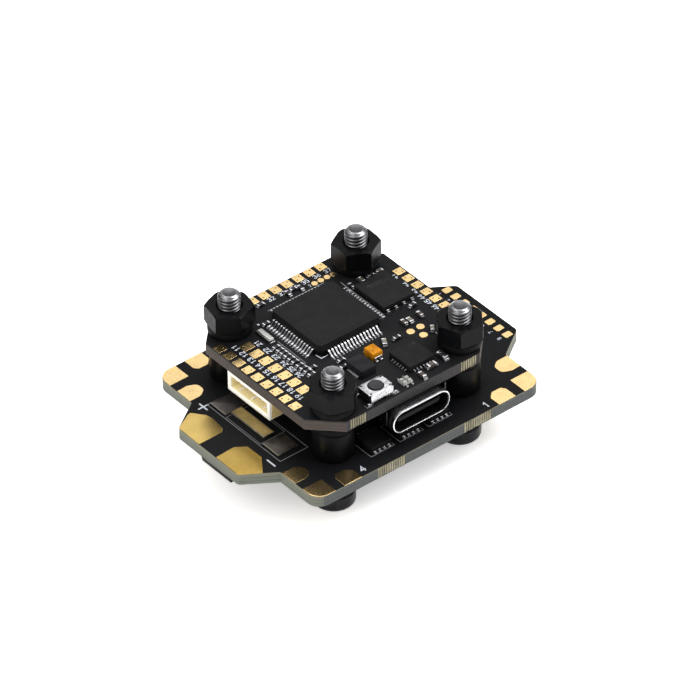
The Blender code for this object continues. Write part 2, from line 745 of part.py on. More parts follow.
move_to_screw_square()
for part_object in PARTS.objects:
    smooth_by_angle(part_object)
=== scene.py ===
import math
import random

import bpy
from mathutils import Matrix, Vector
from mathutils.geometry import tessellate_polygon


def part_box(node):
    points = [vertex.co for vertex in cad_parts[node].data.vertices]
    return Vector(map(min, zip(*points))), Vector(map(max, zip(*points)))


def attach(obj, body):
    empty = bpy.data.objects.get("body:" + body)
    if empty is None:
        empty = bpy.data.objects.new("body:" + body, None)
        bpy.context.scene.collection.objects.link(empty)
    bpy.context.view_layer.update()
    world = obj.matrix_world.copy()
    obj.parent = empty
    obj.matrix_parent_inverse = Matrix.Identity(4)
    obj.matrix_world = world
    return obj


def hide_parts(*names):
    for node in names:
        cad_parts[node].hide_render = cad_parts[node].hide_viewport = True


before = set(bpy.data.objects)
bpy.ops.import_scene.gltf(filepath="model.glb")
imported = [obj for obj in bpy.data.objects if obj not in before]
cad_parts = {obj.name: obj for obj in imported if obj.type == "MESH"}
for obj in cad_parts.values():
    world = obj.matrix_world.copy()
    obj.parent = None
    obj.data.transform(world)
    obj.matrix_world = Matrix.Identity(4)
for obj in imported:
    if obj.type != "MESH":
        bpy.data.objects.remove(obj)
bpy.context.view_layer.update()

MM = 0.001                              # the model is in metres; all sizes below are in millimetres
TAU, QUARTER = 2 * math.pi, math.pi / 2
BOTH = (-1, 1)
ALL_CUT = ((1, -1), (1, 1), (-1, 1), (-1, -1))


def node_box(name):
    """A CAD node's lowest and highest corner, in millimetres."""
    low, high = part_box(name)
    return [value / MM for value in low], [value / MM for value in high]


def middle_of(name):
    """A CAD node's middle in x and y, and its lowest and highest z."""
    low, high = node_box(name)
    return (low[0] + high[0]) / 2, (low[1] + high[1]) / 2, low[2], high[2]


# ---------------------------------------------------------------- outlines

def inset(loop, distance):
    """A counter-clockwise loop moved inwards by a distance, with mitred corners."""
    if abs(distance) < 1e-9:
        return list(loop)
    moved = []
    for index, (x1, y1) in enumerate(loop):
        (x0, y0), (x2, y2) = loop[index - 1], loop[(index + 1) % len(loop)]
        ax, ay, bx, by = x1 - x0, y1 - y0, x2 - x1, y2 - y1
        la, lb = math.hypot(ax, ay) or 1.0, math.hypot(bx, by) or 1.0
        nax, nay, nbx, nby = -ay / la, ax / la, -by / lb, bx / lb
        reach = distance / max(0.35, 1 + nax * nbx + nay * nby)
        moved.append((x1 + (nax + nbx) * reach, y1 + (nay + nby) * reach))
    return moved


def arc(x, y, radius, first, last, steps):
    """Points on an arc; angles are in quarter turns."""
    angles = [QUARTER * (first + (last - first) * k / steps) for k in range(steps + 1)]
    return [(x + radius * math.cos(a), y + radius * math.sin(a)) for a in angles]


def circle(radius, steps=24, x=0.0, y=0.0):
    return arc(x, y, radius, 0, 4, steps)[:-1]


def rounded(corners, steps=5):
    """Counter-clockwise (x, y, radius) corners as points, with arcs at the corners."""
    points = []
    for index, (x, y, radius) in enumerate(corners):
        if radius <= 0.0:
            points.append((x, y))
            continue
        before, after = corners[index - 1], corners[(index + 1) % len(corners)]
        ax, ay, bx, by = before[0] - x, before[1] - y, after[0] - x, after[1] - y
        la, lb = math.hypot(ax, ay), math.hypot(bx, by)
        ax, ay, bx, by = ax / la, ay / la, bx / lb, by / lb
        half = math.acos(max(-1.0, min(1.0, ax * bx + ay * by))) / 2
        reach = radius / math.tan(half)
        mx, my = ax + bx, ay + by
        away = radius / math.sin(half) / math.hypot(mx, my)
        cx, cy = x + mx * away, y + my * away
        first = math.atan2(y + ay * reach - cy, x + ax * reach - cx)
        last = math.atan2(y + by * reach - cy, x + bx * reach - cx)
        sweep = (last - first + math.pi) % TAU - math.pi
        points += arc(cx, cy, radius, first / QUARTER, (first + sweep) / QUARTER, steps)
    return points


def softened(points, radius, steps):
    return rounded([(x, y, radius) for x, y in points], steps)


def rectangle(width, depth, radius=0.0, x=0.0, y=0.0, steps=4):
    w, d = width / 2, depth / 2
    return softened([(x + w, y - d), (x + w, y + d), (x - w, y + d), (x - w, y - d)], radius, steps)


def chamfered(width, depth, cuts, size, x=0.0, y=0.0):
    """A rectangle whose chosen corners, named by their signs, are cut at 45 degrees."""
    points = []
    for sx, sy in ALL_CUT:
        px, py = sx * width / 2, sy * depth / 2
        if (sx, sy) in cuts:
            ends = [(px - sx * size, py), (px, py - sy * size)]
            points += [(x + ex, y + ey, 0.04) for ex, ey in (ends[::-1] if sx * sy > 0 else ends)]
        else:
            points.append((x + px, y + py, 0.06))
    return rounded(points, 3)


def spot(x, y, along, across, angle):
    """A point given along and across a direction from (x, y)."""
    c, s = math.cos(angle), math.sin(angle)
    return x + along * c - across * s, y + along * s + across * c


def turned(loop, angle, x=0.0, y=0.0):
    return [spot(x, y, px, py, angle) for px, py in loop]


def area_of(loop):
    return sum(loop[k - 1][0] * loop[k][1] - loop[k][0] * loop[k - 1][1] for k in range(len(loop))) / 2


def inside(x, y, loop):
    """Whether a point lies within an outline."""
    crossings = 0
    for k, (x1, y1) in enumerate(loop):
        x0, y0 = loop[k - 1]
        if (y0 > y) != (y1 > y) and x < x0 + (x1 - x0) * (y - y0) / (y1 - y0):
            crossings += 1
    return crossings % 2 == 1


# ---------------------------------------------------------------- solids

class Solid:
    """Vertices in millimetres and faces, gathered into one piece. Each method that adds a shape returns the solid."""

    def __init__(self):
        self.vertices, self.faces = [], []

    def ring(self, points):
        base = len(self.vertices)
        self.vertices.extend(points)
        return list(range(base, len(self.vertices)))

    def loop(self, points, z):
        return self.ring((x, y, z) for x, y in points)

    def wall(self, lower, upper, outward=True):
        for k in range(len(lower)):
            n = (k + 1) % len(lower)
            quad = (lower[k], lower[n], upper[n], upper[k])
            self.faces.append(quad if outward else quad[::-1])

    def walls(self, rings, outward=True):
        for lower, upper in zip(rings, rings[1:]):
            self.wall(lower, upper, outward)

    def cap(self, outer, holes, up):
        """A flat face between an outer loop and hole loops, all of them counter-clockwise index lists."""
        if not holes:
            self.faces.append(tuple(outer) if up else tuple(outer[::-1]))
            return
        flat_list = [i for loop in (outer, *holes) for i in loop]
        loops = [[Vector(self.vertices[i]) for i in loop] for loop in (outer, *holes)]
        for triangle in tessellate_polygon(loops):
            a, b, c = (flat_list[i] for i in triangle)
            pa, pb, pc = (self.vertices[i] for i in (a, b, c))
            turn = (pb[0] - pa[0]) * (pc[1] - pa[1]) - (pc[0] - pa[0]) * (pb[1] - pa[1])
            if abs(turn) >= 1e-12:
                self.faces.append((a, b, c) if (turn > 0) == up else (a, c, b))

    def slab(self, outer, levels, holes=(), dimples=()):
        """An upright solid: levels are (z, inset) from the bottom up. Dimples are (loop, depth, taper) in the top."""
        rings = [self.loop(inset(outer, d), z) for z, d in levels]
        self.walls(rings)
        bores = [[self.loop(inset(hole, -min(d, 0.05)), z) for z, d in levels] for hole in holes]
        for bore in bores:
            self.walls(bore, outward=False)
        tops = [bore[-1] for bore in bores]
        for loop, depth, taper in dimples:
            rim = self.loop(loop, levels[-1][0])
            floor = self.loop(inset(loop, taper), levels[-1][0] - depth)
            self.wall(floor, rim, outward=False)
            self.faces.append(tuple(floor))
            tops.append(rim)
        self.cap(rings[0], [bore[0] for bore in bores], up=False)
        self.cap(rings[-1], tops, up=True)
        return self

    def lathe(self, profile, steps=48, x=0.0, y=0.0, closed=False):
        """A solid of revolution about an upright axis. The (radius, z) points run up its outer side."""
        rings = [self.loop(circle(radius, steps, x, y), z) if radius > 1e-6 else self.ring([(x, y, z)])
                 for radius, z in profile]
        for a, b in zip(rings, rings[1:] + (rings[:1] if closed else [])):
            if len(a) == 1 and len(b) > 1:
                self.faces.extend((a[0], b[(k + 1) % steps], b[k]) for k in range(steps))
            elif len(b) == 1 and len(a) > 1:
                self.faces.extend((a[k], a[(k + 1) % steps], b[0]) for k in range(steps))
            elif len(a) > 1:
                self.wall(a, b)
        return self

    def bar(self, path, width, thickness, edge):
        """A strip bent along a path of (s, z) points in the x-z plane, width along y, as a closed solid."""
        w, t = width / 2, thickness / 2
        e = min(edge, w * 0.6, t * 0.6)
        section = [(-w, -t + e), (-w + e, -t), (w - e, -t), (w, -t + e), (w, t - e), (w - e, t), (-w + e, t),
                   (-w, t - e)]
        rings = []
        for k, (s, z) in enumerate(path):
            a, b = path[max(k - 1, 0)], path[min(k + 1, len(path) - 1)]
            length = math.dist(a, b) or 1.0
            nx, nz = (a[1] - b[1]) / length, (b[0] - a[0]) / length
            rings.append(self.ring((s + nx * v, u, z + nz * v) for u, v in section))
        for a, b in zip(rings, rings[1:]):
            self.wall(b, a)
        self.faces += [tuple(rings[0]), tuple(rings[-1][::-1])]
        return self

    def add(self, other, move, flip=False):
        """Another solid, with each vertex passed through a function. One that mirrors it needs its faces flipped."""
        base = len(self.vertices)
        self.vertices.extend(move(*vertex) for vertex in other.vertices)
        self.faces.extend(tuple(base + i for i in (face[::-1] if flip else face)) for face in other.faces)
        return self

    def place(self, other, x=0.0, y=0.0, z=0.0, turn=0.0, under=False):
        """Another solid, turned about the upright axis and moved; under hangs it upside down."""
        u = -1 if under else 1
        return self.add(other, lambda px, py, pz: (*spot(x, y, px, u * py, turn), z + u * pz))


def piece(name, solid, material, slot, body="stack", replaces=(), angle=35.0, shift=(0.0, 0.0)):
    """Make the solid a named piece that rides on a body."""
    mesh = bpy.data.meshes.new(name)
    mesh.from_pydata([((x + shift[0]) * MM, (y + shift[1]) * MM, z * MM) for x, y, z in solid.vertices], [],
                     solid.faces)
    mesh.validate()
    mesh.materials.append(material)
    mesh.shade_smooth()
    mesh.set_sharp_from_angle(angle=math.radians(angle))
    item = bpy.data.objects.new(name, mesh)
    bpy.context.scene.collection.objects.link(item)
    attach(item, body)
    if replaces:
        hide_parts(*replaces)


# ---------------------------------------------------------------- levels and places taken from the CAD frame

ESC_LOW, ESC_HIGH = middle_of("esc_board")[2:]          # the lower board, the speed controller
FC_LOW, FC_HIGH = middle_of("fc_board")[2:]             # the upper board, the flight controller
MASK = 0.035                            # thickness of the solder mask
PAD = 0.04                              # a pad's height over the mask
INK_HEIGHT = 0.02
SEAT = 0.03                             # gap between a board and the CAD parts on it
HOLE = 2.0                              # radius of the boards' holes
PITCH = 10.0                            # the holes' distance from the screw square's middle lines
CHAMFER = 0.34                          # height of the chamfer at a screw's end

CORNERS = {corner: middle_of("screw_" + corner)[:2]
           for corner in ("front_left", "front_right", "rear_left", "rear_right")}
SQUARE_X = sum(x for x, _ in CORNERS.values()) / 4      # the screw square's centre: the upper board is drawn round it
SQUARE_Y = sum(y for _, y in CORNERS.values()) / 4
SCREW_TOP = middle_of("screw_front_left")[3]


# ---------------------------------------------------------------- materials

class Nodes:
    """Wires up one node material."""

    def __init__(self, name):
        self.material = bpy.data.materials.new(name)
        self.material.use_nodes = True
        self.tree = self.material.node_tree
        self.tree.nodes.clear()
        self.link = self.tree.links.new
        output = self.add("ShaderNodeOutputMaterial")
        self.shader = self.add("ShaderNodeBsdfPrincipled")
        self.link(self.shader.outputs[0], output.inputs[0])
        self.place = self.add("ShaderNodeTexCoord").outputs["Object"]

    def add(self, kind, inputs=(), **settings):
        node = self.tree.nodes.new(kind)
        for key, value in settings.items():
            setattr(node, key, value)
        for key, value in dict(inputs).items():
            self.put(node.inputs[key], value)
        return node

    def put(self, socket, value):
        if isinstance(value, bpy.types.NodeSocket):
            self.link(value, socket)
        elif socket.type == "RGBA" and len(value) == 3:
            socket.default_value = (*value, 1.0)
        else:
            socket.default_value = value

    def noise(self, scale, detail=3.0, roughness=0.55, vector=None):
        return self.add("ShaderNodeTexNoise", {"Vector": vector or self.place, "Scale": scale, "Detail": detail,
                                               "Roughness": roughness}).outputs["Fac"]

    def stretched(self, scale):
        return self.add("ShaderNodeMapping", {"Vector": self.place, "Scale": scale}).outputs[0]

    def ramp(self, fac, stops):
        node = self.add("ShaderNodeValToRGB", {0: fac})
        elements = node.color_ramp.elements
        while len(elements) < len(stops):
            elements.new(0.5)
        for element, (position, colour) in zip(elements, stops):
            element.position = position
            element.color = (*colour, 1.0)
        return node.outputs[0]

    def blotches(self, fac, colour, dark, light, start=0.3, end=0.7):
        return self.ramp(fac, [(start, tint(colour, dark)), (end, tint(colour, light))])

    def mix(self, fac, a, b, mode="MIX"):
        return self.add("ShaderNodeMix", {0: fac, 6: a, 7: b}, data_type="RGBA", blend_type=mode).outputs[2]

    def math(self, operation, a, b=0.0):
        return self.add("ShaderNodeMath", {0: a, 1: b}, operation=operation).outputs[0]

    def span(self, value, *limits):
        """A value's range (from, to) mapped to another (from, to)."""
        return self.add("ShaderNodeMapRange", enumerate((value, *limits))).outputs[0]

    def axis(self, index, vector=None):
        return self.add("ShaderNodeSeparateXYZ", {0: vector or self.place}).outputs[index]

    def bump(self, height, strength, distance):
        return self.add("ShaderNodeBump", {"Strength": strength, "Distance": distance * MM,
                                           "Height": height}).outputs[0]

    def finish(self, colour, roughness, metallic, specular, normal=None, coat=0.0):
        values = {"Base Color": colour, "Roughness": roughness, "Metallic": metallic, "Specular IOR Level": specular,
                  "Coat Weight": coat, "Coat Roughness": 0.1}
        if normal is not None:
            values["Normal"] = normal
        for key, value in values.items():
            self.put(self.shader.inputs[key], value)
        return self.material


def tint(colour, factor):
    return tuple(min(1.0, channel * factor) for channel in colour)


def moulded(name, colour, rough=0.6, specular=0.3, vary=0.25, grain=9000.0, depth=0.012, coat=0.0):
    """Moulded resin: fine grain, slow colour blotches and uneven gloss."""
    n = Nodes(name)
    slow, fine = n.noise(700.0, 4.0), n.noise(grain, 3.0, 0.7)
    fleck = n.ramp(fine, [(0.0, (0.72,) * 3), (0.62, (1.0,) * 3), (1.0, (1.35,) * 3)])
    base = n.mix(0.6, n.blotches(slow, colour, 1 - vary, 1 + vary), fleck, "MULTIPLY")
    return n.finish(base, n.span(slow, 0.3, 0.7, rough - 0.07, rough + 0.07), 0.0, specular,
                    n.bump(fine, 0.5, depth), coat)


def metal(name, colour, rough=0.25, vary=0.12, grain=5000.0, depth=0.004, stain=None, stretch=None, blotch=900.0):
    """Plated or drawn metal: slow tone changes, fine marks and stains."""
    n = Nodes(name)
    fine = n.noise(grain, 4.0, 0.6, n.stretched(stretch) if stretch else None)
    base = n.blotches(n.noise(blotch, 4.0, 0.6), colour, 1 - vary, 1 + vary * 0.6, 0.28, 0.72)
    if stain:
        base = n.mix(n.span(n.noise(blotch * 2.7, 5.0, 0.65), 0.52, 0.8, 0.0, 0.55), base, stain)
    return n.finish(base, n.span(fine, 0.25, 0.75, rough * 0.7, rough * 1.35), 1.0, 0.5, n.bump(fine, 0.45, depth))


def thread_shade_highlight_material(name, colour):
    """Rolled thread with painted light: roots painted near black as painted shade, bright crests, and a painted
    highlight ring round a painted darker centre on the end.
    """
    n = Nodes(name)
    squares = []
    for axis, middle in enumerate((SQUARE_X, SQUARE_Y)):
        off = n.math("ABSOLUTE", n.math("SUBTRACT", n.axis(axis), middle * MM))
        squares.append(n.math("POWER", n.math("ABSOLUTE", n.math("SUBTRACT", off, PITCH * MM)), 2.0))
    radius = n.math("SQRT", n.math("ADD", *squares))
    fine = n.noise(3000.0, 4.0, 0.6)
    base = n.blotches(n.noise(900.0, 4.0, 0.6), colour, 0.72, 1.2, 0.28, 0.72)
    # painted shade: the thread's roots, inside 1.2 mm radius, are painted near black
    side = n.mix(n.span(radius, 1.2 * MM, 1.38 * MM, 0.0, 1.0), tint(colour, 0.1), base)
    # painted shade: the middle of the screw's end is darkened
    dull = n.mix(1.0, base, (0.78, 0.78, 0.78), "MULTIPLY")
    # painted highlight: a bright ring round the edge of the screw's end
    end = n.mix(n.span(radius, 0.8 * MM, 0.92 * MM, 0.0, 1.0), dull, tint(colour, 1.55))
    on_end = n.span(n.axis(2), (SCREW_TOP - CHAMFER) * MM, (SCREW_TOP - 0.26) * MM, 0.0, 1.0)
    return n.finish(n.mix(on_end, side, end), n.span(fine, 0.25, 0.75, 0.18, 0.34), 1.0, 0.5, n.bump(fine, 0.45, 0.006))


def mask_material(name, colour, rough=0.5):
    """Matt solder mask over woven glass: faint weave, orange peel and dust."""
    n = Nodes(name)
    slow = n.noise(260.0, 5.0, 0.6)
    wave = {"Vector": n.place, "Scale": 720.0, "Distortion": 0.6, "Detail": 2.0, "Detail Scale": 4.0}
    weave = n.math("MULTIPLY", *(n.add("ShaderNodeTexWave", wave, bands_direction=way).outputs["Fac"] for way in "XY"))
    base = n.mix(n.span(weave, 0.0, 1.0, 0.0, 0.35), n.blotches(slow, colour, 0.78, 1.25), tint(colour, 1.6))
    base = n.mix(n.span(n.noise(14000.0, 2.0, 0.5), 0.66, 0.8, 0.0, 0.2), base, (0.05, 0.05, 0.053))
    height = n.math("ADD", n.math("MULTIPLY", weave, 0.6), n.noise(5200.0, 3.0, 0.6))
    return n.finish(base, n.span(slow, 0.3, 0.7, rough - 0.06, rough + 0.08), 0.0, 0.06, n.bump(height, 0.35, 0.012))


def laminate_material(name, plies, low, high, dark, streak):
    """Cut glass laminate: plies across the thickness, milled streaks, and painted shade on the faces towards the front
    and back.
    """
    n = Nodes(name)
    height = n.math("ADD", n.span(n.axis(2), low * MM, high * MM, 0.0, 1.0),
                    n.span(n.noise(900.0, 3.0), 0.3, 0.7, -0.02, 0.02))
    streaks = n.noise(1.0, 4.0, 0.65, n.stretched((9000.0, 9000.0, 900.0)))
    base = n.mix(n.span(streaks, 0.45, 0.75, 0.0, 0.5), n.ramp(height, plies), streak)
    normal = n.add("ShaderNodeNewGeometry").outputs["True Normal"]
    # painted shade: faces towards -Y and +Y take the dark colour, for the shade that falls on them
    painted_shade_facing = n.span(n.math("ABSOLUTE", n.axis(1, normal)), 0.85, 0.98, 0.0, 0.93)
    shade = n.mix(n.span(streaks, 0.3, 0.7, 0.0, 1.0), tint(dark, 0.7), tint(dark, 2.0))
    return n.finish(n.mix(painted_shade_facing, base, shade), n.span(streaks, 0.3, 0.7, 0.55, 0.78), 0.0, 0.3,
                    n.bump(streaks, 0.5, 0.02))


def rubber_material(name, colour):
    """Soft rubber with dust on it."""
    n = Nodes(name)
    fine = n.noise(7000.0, 4.0, 0.7)
    dust = n.span(n.noise(3000.0, 6.0, 0.7), 0.6, 0.9, 0.0, 0.15)
    base = n.mix(dust, n.blotches(n.noise(500.0, 4.0, 0.6), colour, 0.7, 1.4), (0.03, 0.03, 0.031))
    return n.finish(base, n.span(fine, 0.3, 0.7, 0.5, 0.66), 0.0, 0.06, n.bump(fine, 0.5, 0.02))


def ink_material(name, colour):
    """Printed ink, thin in places."""
    n = Nodes(name)
    fine = n.noise(12000.0, 3.0, 0.7)
    base = n.ramp(fine, [(0.25, tint(colour, 0.62)), (0.5, colour), (0.8, tint(colour, 1.1))])
    return n.finish(base, n.span(fine, 0.3, 0.7, 0.5, 0.75), 0.0, 0.3, n.bump(fine, 0.6, 0.01))


def gold_material(name, colour, dull, painted_shade_to_front=0.0):
    """Thin gold over nickel: satin grain, slow tone changes, painted shade darkening towards -Y if asked, and tiny
    pits.
    """
    n = Nodes(name)
    fine = n.noise(9000.0, 4.0, 0.65)
    base = n.ramp(n.noise(600.0, 4.0, 0.6), [(0.28, tint(colour, 0.86)), (0.55, colour), (0.8, tint(colour, 1.07))])
    base = n.mix(n.span(n.noise(2600.0, 5.0, 0.7), 0.55, 0.82, 0.0, 0.5), base, dull)
    base = n.mix(n.span(n.noise(16000.0, 2.0, 0.5), 0.7, 0.8, 0.0, 0.25), base, tint(dull, 0.6))
    # painted shade: the colour darkens towards -Y, by the given strength
    base = n.mix(n.span(n.axis(1), -4.5 * MM, 2.5 * MM, painted_shade_to_front, 0.0), base, (0.70, 0.66, 0.50), "MULTIPLY")
    return n.finish(base, n.span(fine, 0.25, 0.75, 0.205, 0.235), 1.0, 0.5)


MASK_FC = mask_material("mask_fc", (0.0056, 0.0057, 0.0063))
MASK_ESC = mask_material("mask_esc", (0.0036, 0.0038, 0.0043))
# Each laminate's second-to-last colour is the painted shade on its front and back faces; the last is its streaks'
# colour.
LAMINATE_FC = laminate_material("laminate_fc", [
    (0.0, (0.020, 0.015, 0.012)), (0.08, (0.060, 0.044, 0.037)), (0.3, (0.038, 0.029, 0.025)),
    (0.34, (0.056, 0.042, 0.035)), (0.62, (0.036, 0.028, 0.025)), (0.66, (0.055, 0.042, 0.035)),
    (0.84, (0.040, 0.031, 0.026)), (0.95, (0.014, 0.012, 0.011))],
    12.73, 14.33, (0.011, 0.011, 0.012), (0.065, 0.049, 0.040))
LAMINATE_ESC = laminate_material("laminate_esc", [
    (0.0, (0.042, 0.047, 0.042)), (0.1, (0.110, 0.118, 0.094)), (0.30, (0.095, 0.102, 0.082)),
    (0.335, (0.045, 0.049, 0.038)), (0.37, (0.116, 0.124, 0.097)), (0.63, (0.106, 0.112, 0.088)),
    (0.66, (0.052, 0.055, 0.042)), (0.70, (0.128, 0.132, 0.098)), (0.86, (0.135, 0.132, 0.095)),
    (0.93, (0.15, 0.14, 0.095)), (1.0, (0.085, 0.082, 0.062))],
    5.88, 7.53, (0.030, 0.033, 0.035), (0.13, 0.135, 0.11))
CHIP = moulded("chip_epoxy", (0.0092, 0.0093, 0.0097), 0.62, 0.06)
FET = moulded("fet_epoxy", (0.0065, 0.0066, 0.0071), 0.55, 0.07)
MARK = moulded("laser_mark", (0.032, 0.032, 0.034), 0.7, 0.1)
NYLON = moulded("nylon", (0.0025, 0.0026, 0.0030), 0.36, 0.06, 0.3, 5000.0, 0.01)
INSULATOR = moulded("insulator", (0.0062, 0.0062, 0.0068), 0.5, 0.08)
CREAM = moulded("cream_resin", (0.93, 0.90, 0.80), 0.42, 0.3, 0.03, 6000.0, 0.006)
# painted light: the cavity's copy of the cream resin
CREAM_PAINTED_LIGHT = moulded("cream_inside", (0.95, 0.83, 0.47), 0.42, 0.3, 0.06, 6000.0, 0.006)
# painted shade: a darker copy of the cream resin for one side of the socket
CREAM_PAINTED_SHADE = moulded("cream_side", (0.62, 0.47, 0.20), 0.42, 0.3, 0.06, 6000.0, 0.006)
AMBER = moulded("tantalum_resin", (0.46, 0.175, 0.004), 0.45, 0.12, 0.35, 5000.0, 0.008)
FERRITE = moulded("ferrite", (0.0125, 0.0125, 0.0140), 0.7, 0.07, 0.35, 4200.0, 0.03)
LED_LENS = moulded("led_lens", (0.215, 0.222, 0.198), 0.3, 0.4, 0.12, 5000.0, 0.004, 0.2)
PLUNGER = moulded("plunger", (0.026, 0.026, 0.028), 0.55, 0.12, 0.2, 5000.0, 0.01)
TAB_FIBRE = moulded("tab_fibre", (0.21, 0.19, 0.125), 0.7, 0.2, 0.5, 2600.0, 0.02)
TAN_CERAMIC = moulded("tan_ceramic", (0.055, 0.046, 0.038), 0.5, 0.2, 0.25, 6000.0, 0.008)
DARK_CERAMIC = moulded("dark_ceramic", (0.012, 0.012, 0.0135), 0.35, 0.2, 0.25, 6000.0, 0.006)
PALE_CERAMIC = moulded("pale_ceramic", (0.13, 0.12, 0.095), 0.5, 0.2, 0.15, 6000.0, 0.008)
RUBBER = rubber_material("rubber", (0.0032, 0.0033, 0.0037))
# painted shade in the thread roots and a painted highlight ring on the screw ends
STEEL_SHADE_AND_HIGHLIGHT = thread_shade_highlight_material("steel", (0.135, 0.135, 0.140))
BLACK_OXIDE = metal("black_oxide", (0.022, 0.022, 0.024), 0.34, 0.4, 3200.0, 0.006, (0.05, 0.045, 0.04))
TIN = metal("tin_plate", (0.46, 0.46, 0.475), 0.26, 0.18, 6500.0, 0.005, (0.16, 0.16, 0.17))
SOLDER = metal("solder", (0.235, 0.235, 0.245), 0.28, 0.25, 3800.0, 0.010, (0.10, 0.10, 0.105), blotch=1500.0)
LID = metal("pressed_lid", (0.50, 0.50, 0.515), 0.26, 0.5, 3400.0, 0.02, (0.10, 0.10, 0.105), blotch=1500.0)
CRYSTAL_LID = metal("crystal_lid", (0.36, 0.355, 0.345), 0.42, 0.16, 5000.0, 0.006, (0.20, 0.20, 0.20))
DARK_SHELL = metal("dark_shell", (0.055, 0.055, 0.059), 0.34, 0.25, 2500.0, 0.004)
BRIGHT_RIM = metal("bright_rim", (0.50, 0.50, 0.51), 0.22, 0.05, 5000.0, 0.003)
SHUNT_ALLOY = metal("shunt_alloy", (0.64, 0.50, 0.21), 0.5, 0.2, 900.0, 0.006, (0.42, 0.32, 0.14), (1.0, 0.12, 1.0))
# Paler than the plates' faces, where it is a painted highlight along their edges; darker than the bar's face.
SHUNT_EDGE = metal("shunt_edge", (0.22, 0.20, 0.16), 0.4, 0.2, 900.0, 0.006, (0.12, 0.11, 0.09))
SHUNT_PLATE = metal("shunt_plate", (0.085, 0.077, 0.072), 0.42, 0.35, 900.0, 0.006, (0.05, 0.047, 0.05),
                    (0.15, 1.0, 1.0))
GOLD = gold_material("gold", (0.80, 0.575, 0.27), (0.60, 0.40, 0.16))
# The battery pads' gold carries painted shade that darkens towards -Y.
DULL_GOLD_PAINTED_SHADE = gold_material("dull_gold", (0.54, 0.385, 0.125), (0.38, 0.25, 0.07), 1.0)
INK = ink_material("ink", (0.44, 0.46, 0.50))
FAINT_INK = ink_material("faint_ink", (0.19, 0.195, 0.20))


# ---------------------------------------------------------------- boards

def all_round(quarter):
    """A quarter's corners and their mirror images in the other three."""
    right = [(x, -y, radius) for x, y, radius in quarter[::-1]] + quarter
    return right + [(-x, -y, radius) for x, y, radius in right]


def board_outline(corners, tabs):
    """The board's outline, with the small ridges that a broken-off tab leaves on its front edge."""
    points = rounded(corners, 8)
    front = min(y for _, y in points)
    made = []
    for index, (x, y) in enumerate(points):
        made.append((x, y))
        next_x, next_y = points[(index + 1) % len(points)]
        if abs(y - front) < 1e-6 and abs(next_y - front) < 1e-6 and next_x > x:
            for start, end in tabs:
                step = start
                while step < end:
                    made += [(step + RIDGE_PITCH * part, front + RIDGE_DEPTH * deep)
                             for part, deep in ((0.0, 0), (0.18, 1), (0.5, 1), (0.68, 0))]
                    step += RIDGE_PITCH
    return made


def board_levels(low, high):
    """Side levels of the laminate core: a slightly broken edge and a fine groove at each copper ply."""
    low, high = low + MASK, high - MASK
    levels = [(low, 0.05), (low + 0.05, 0.0)]
    for k in range(1, 6):
        z = low + (high - low) * k / 6
        levels += [(z + rise, depth) for rise, depth in ((-0.02, 0.0), (-0.008, 0.014), (0.008, 0.014), (0.02, 0.0))]
    return levels + [(high - 0.05, 0.0), (high, 0.05)]


RIDGE_PITCH, RIDGE_DEPTH = 0.42, 0.09   # of the ridges along a broken-off tab
ESC_CORNERS = all_round([(22.2, 5.8, 0.8), (17.9, 8.7, 0.0), (17.9, 15.75, 1.9)])
FC_CORNERS = [(SQUARE_X + x, SQUARE_Y + y, radius)
              for x, y, radius in all_round([(14.15, 9.6, 0.25), (10.5, 13.25, 0.25)])]
ESC_TABS = ((-8.4, -4.2), (5.3, 9.8))
FC_TABS = ((SQUARE_X - 9.9, SQUARE_X - 7.2), (SQUARE_X + 7.5, SQUARE_X + 10.1))
HOLES = [circle(HOLE, 48, x, y) for x, y in CORNERS.values()]
BOARDS = (("esc", ESC_CORNERS, ESC_TABS, ESC_LOW, ESC_HIGH, LAMINATE_ESC, MASK_ESC),
          ("fc", FC_CORNERS, FC_TABS, FC_LOW, FC_HIGH, LAMINATE_FC, MASK_FC))
for name, corners, tabs, low, high, laminate, mask in BOARDS:
    slot = name + "_laminate"
    piece(slot + "_core", Solid().slab(board_outline(corners, tabs), board_levels(low, high), HOLES), laminate, slot,
          replaces=(name + "_board",))
    skin = inset(rounded(corners, 8), 0.06)
    piece(name + "_mask_top", Solid().slab(skin, [(high - MASK, 0.0), (high - 0.008, 0.0), (high, 0.02)], HOLES), mask,
          slot)
    piece(name + "_mask_bottom", Solid().slab(skin, [(low, 0.02), (low + 0.008, 0.0), (low + MASK, 0.0)], HOLES), mask,
          slot)
for name, corners, tabs, low, high, _, _ in BOARDS:
    # The rough glass ends left on the front edge where the panel tabs broke off.
    stubs = Solid()
    random.seed(3)
    for start, end in tabs:
        x = start + 0.1
        while x < end - 0.1:
            outline = rectangle(random.uniform(0.17, 0.27), 0.1, 0.02, x, corners[0][1] + 0.02, 2)
            stubs.slab(outline, [(low + random.uniform(0.08, 0.2), 0.02), (low + 0.3, 0.0), (high - 0.15, 0.0),
                                 (high - random.uniform(0.04, 0.1), 0.02)])
            x += 0.36
    piece(name + "_tab_stubs", stubs, TAB_FIBRE, name + "_laminate")


# ---------------------------------------------------------------- flat features: pads and ink

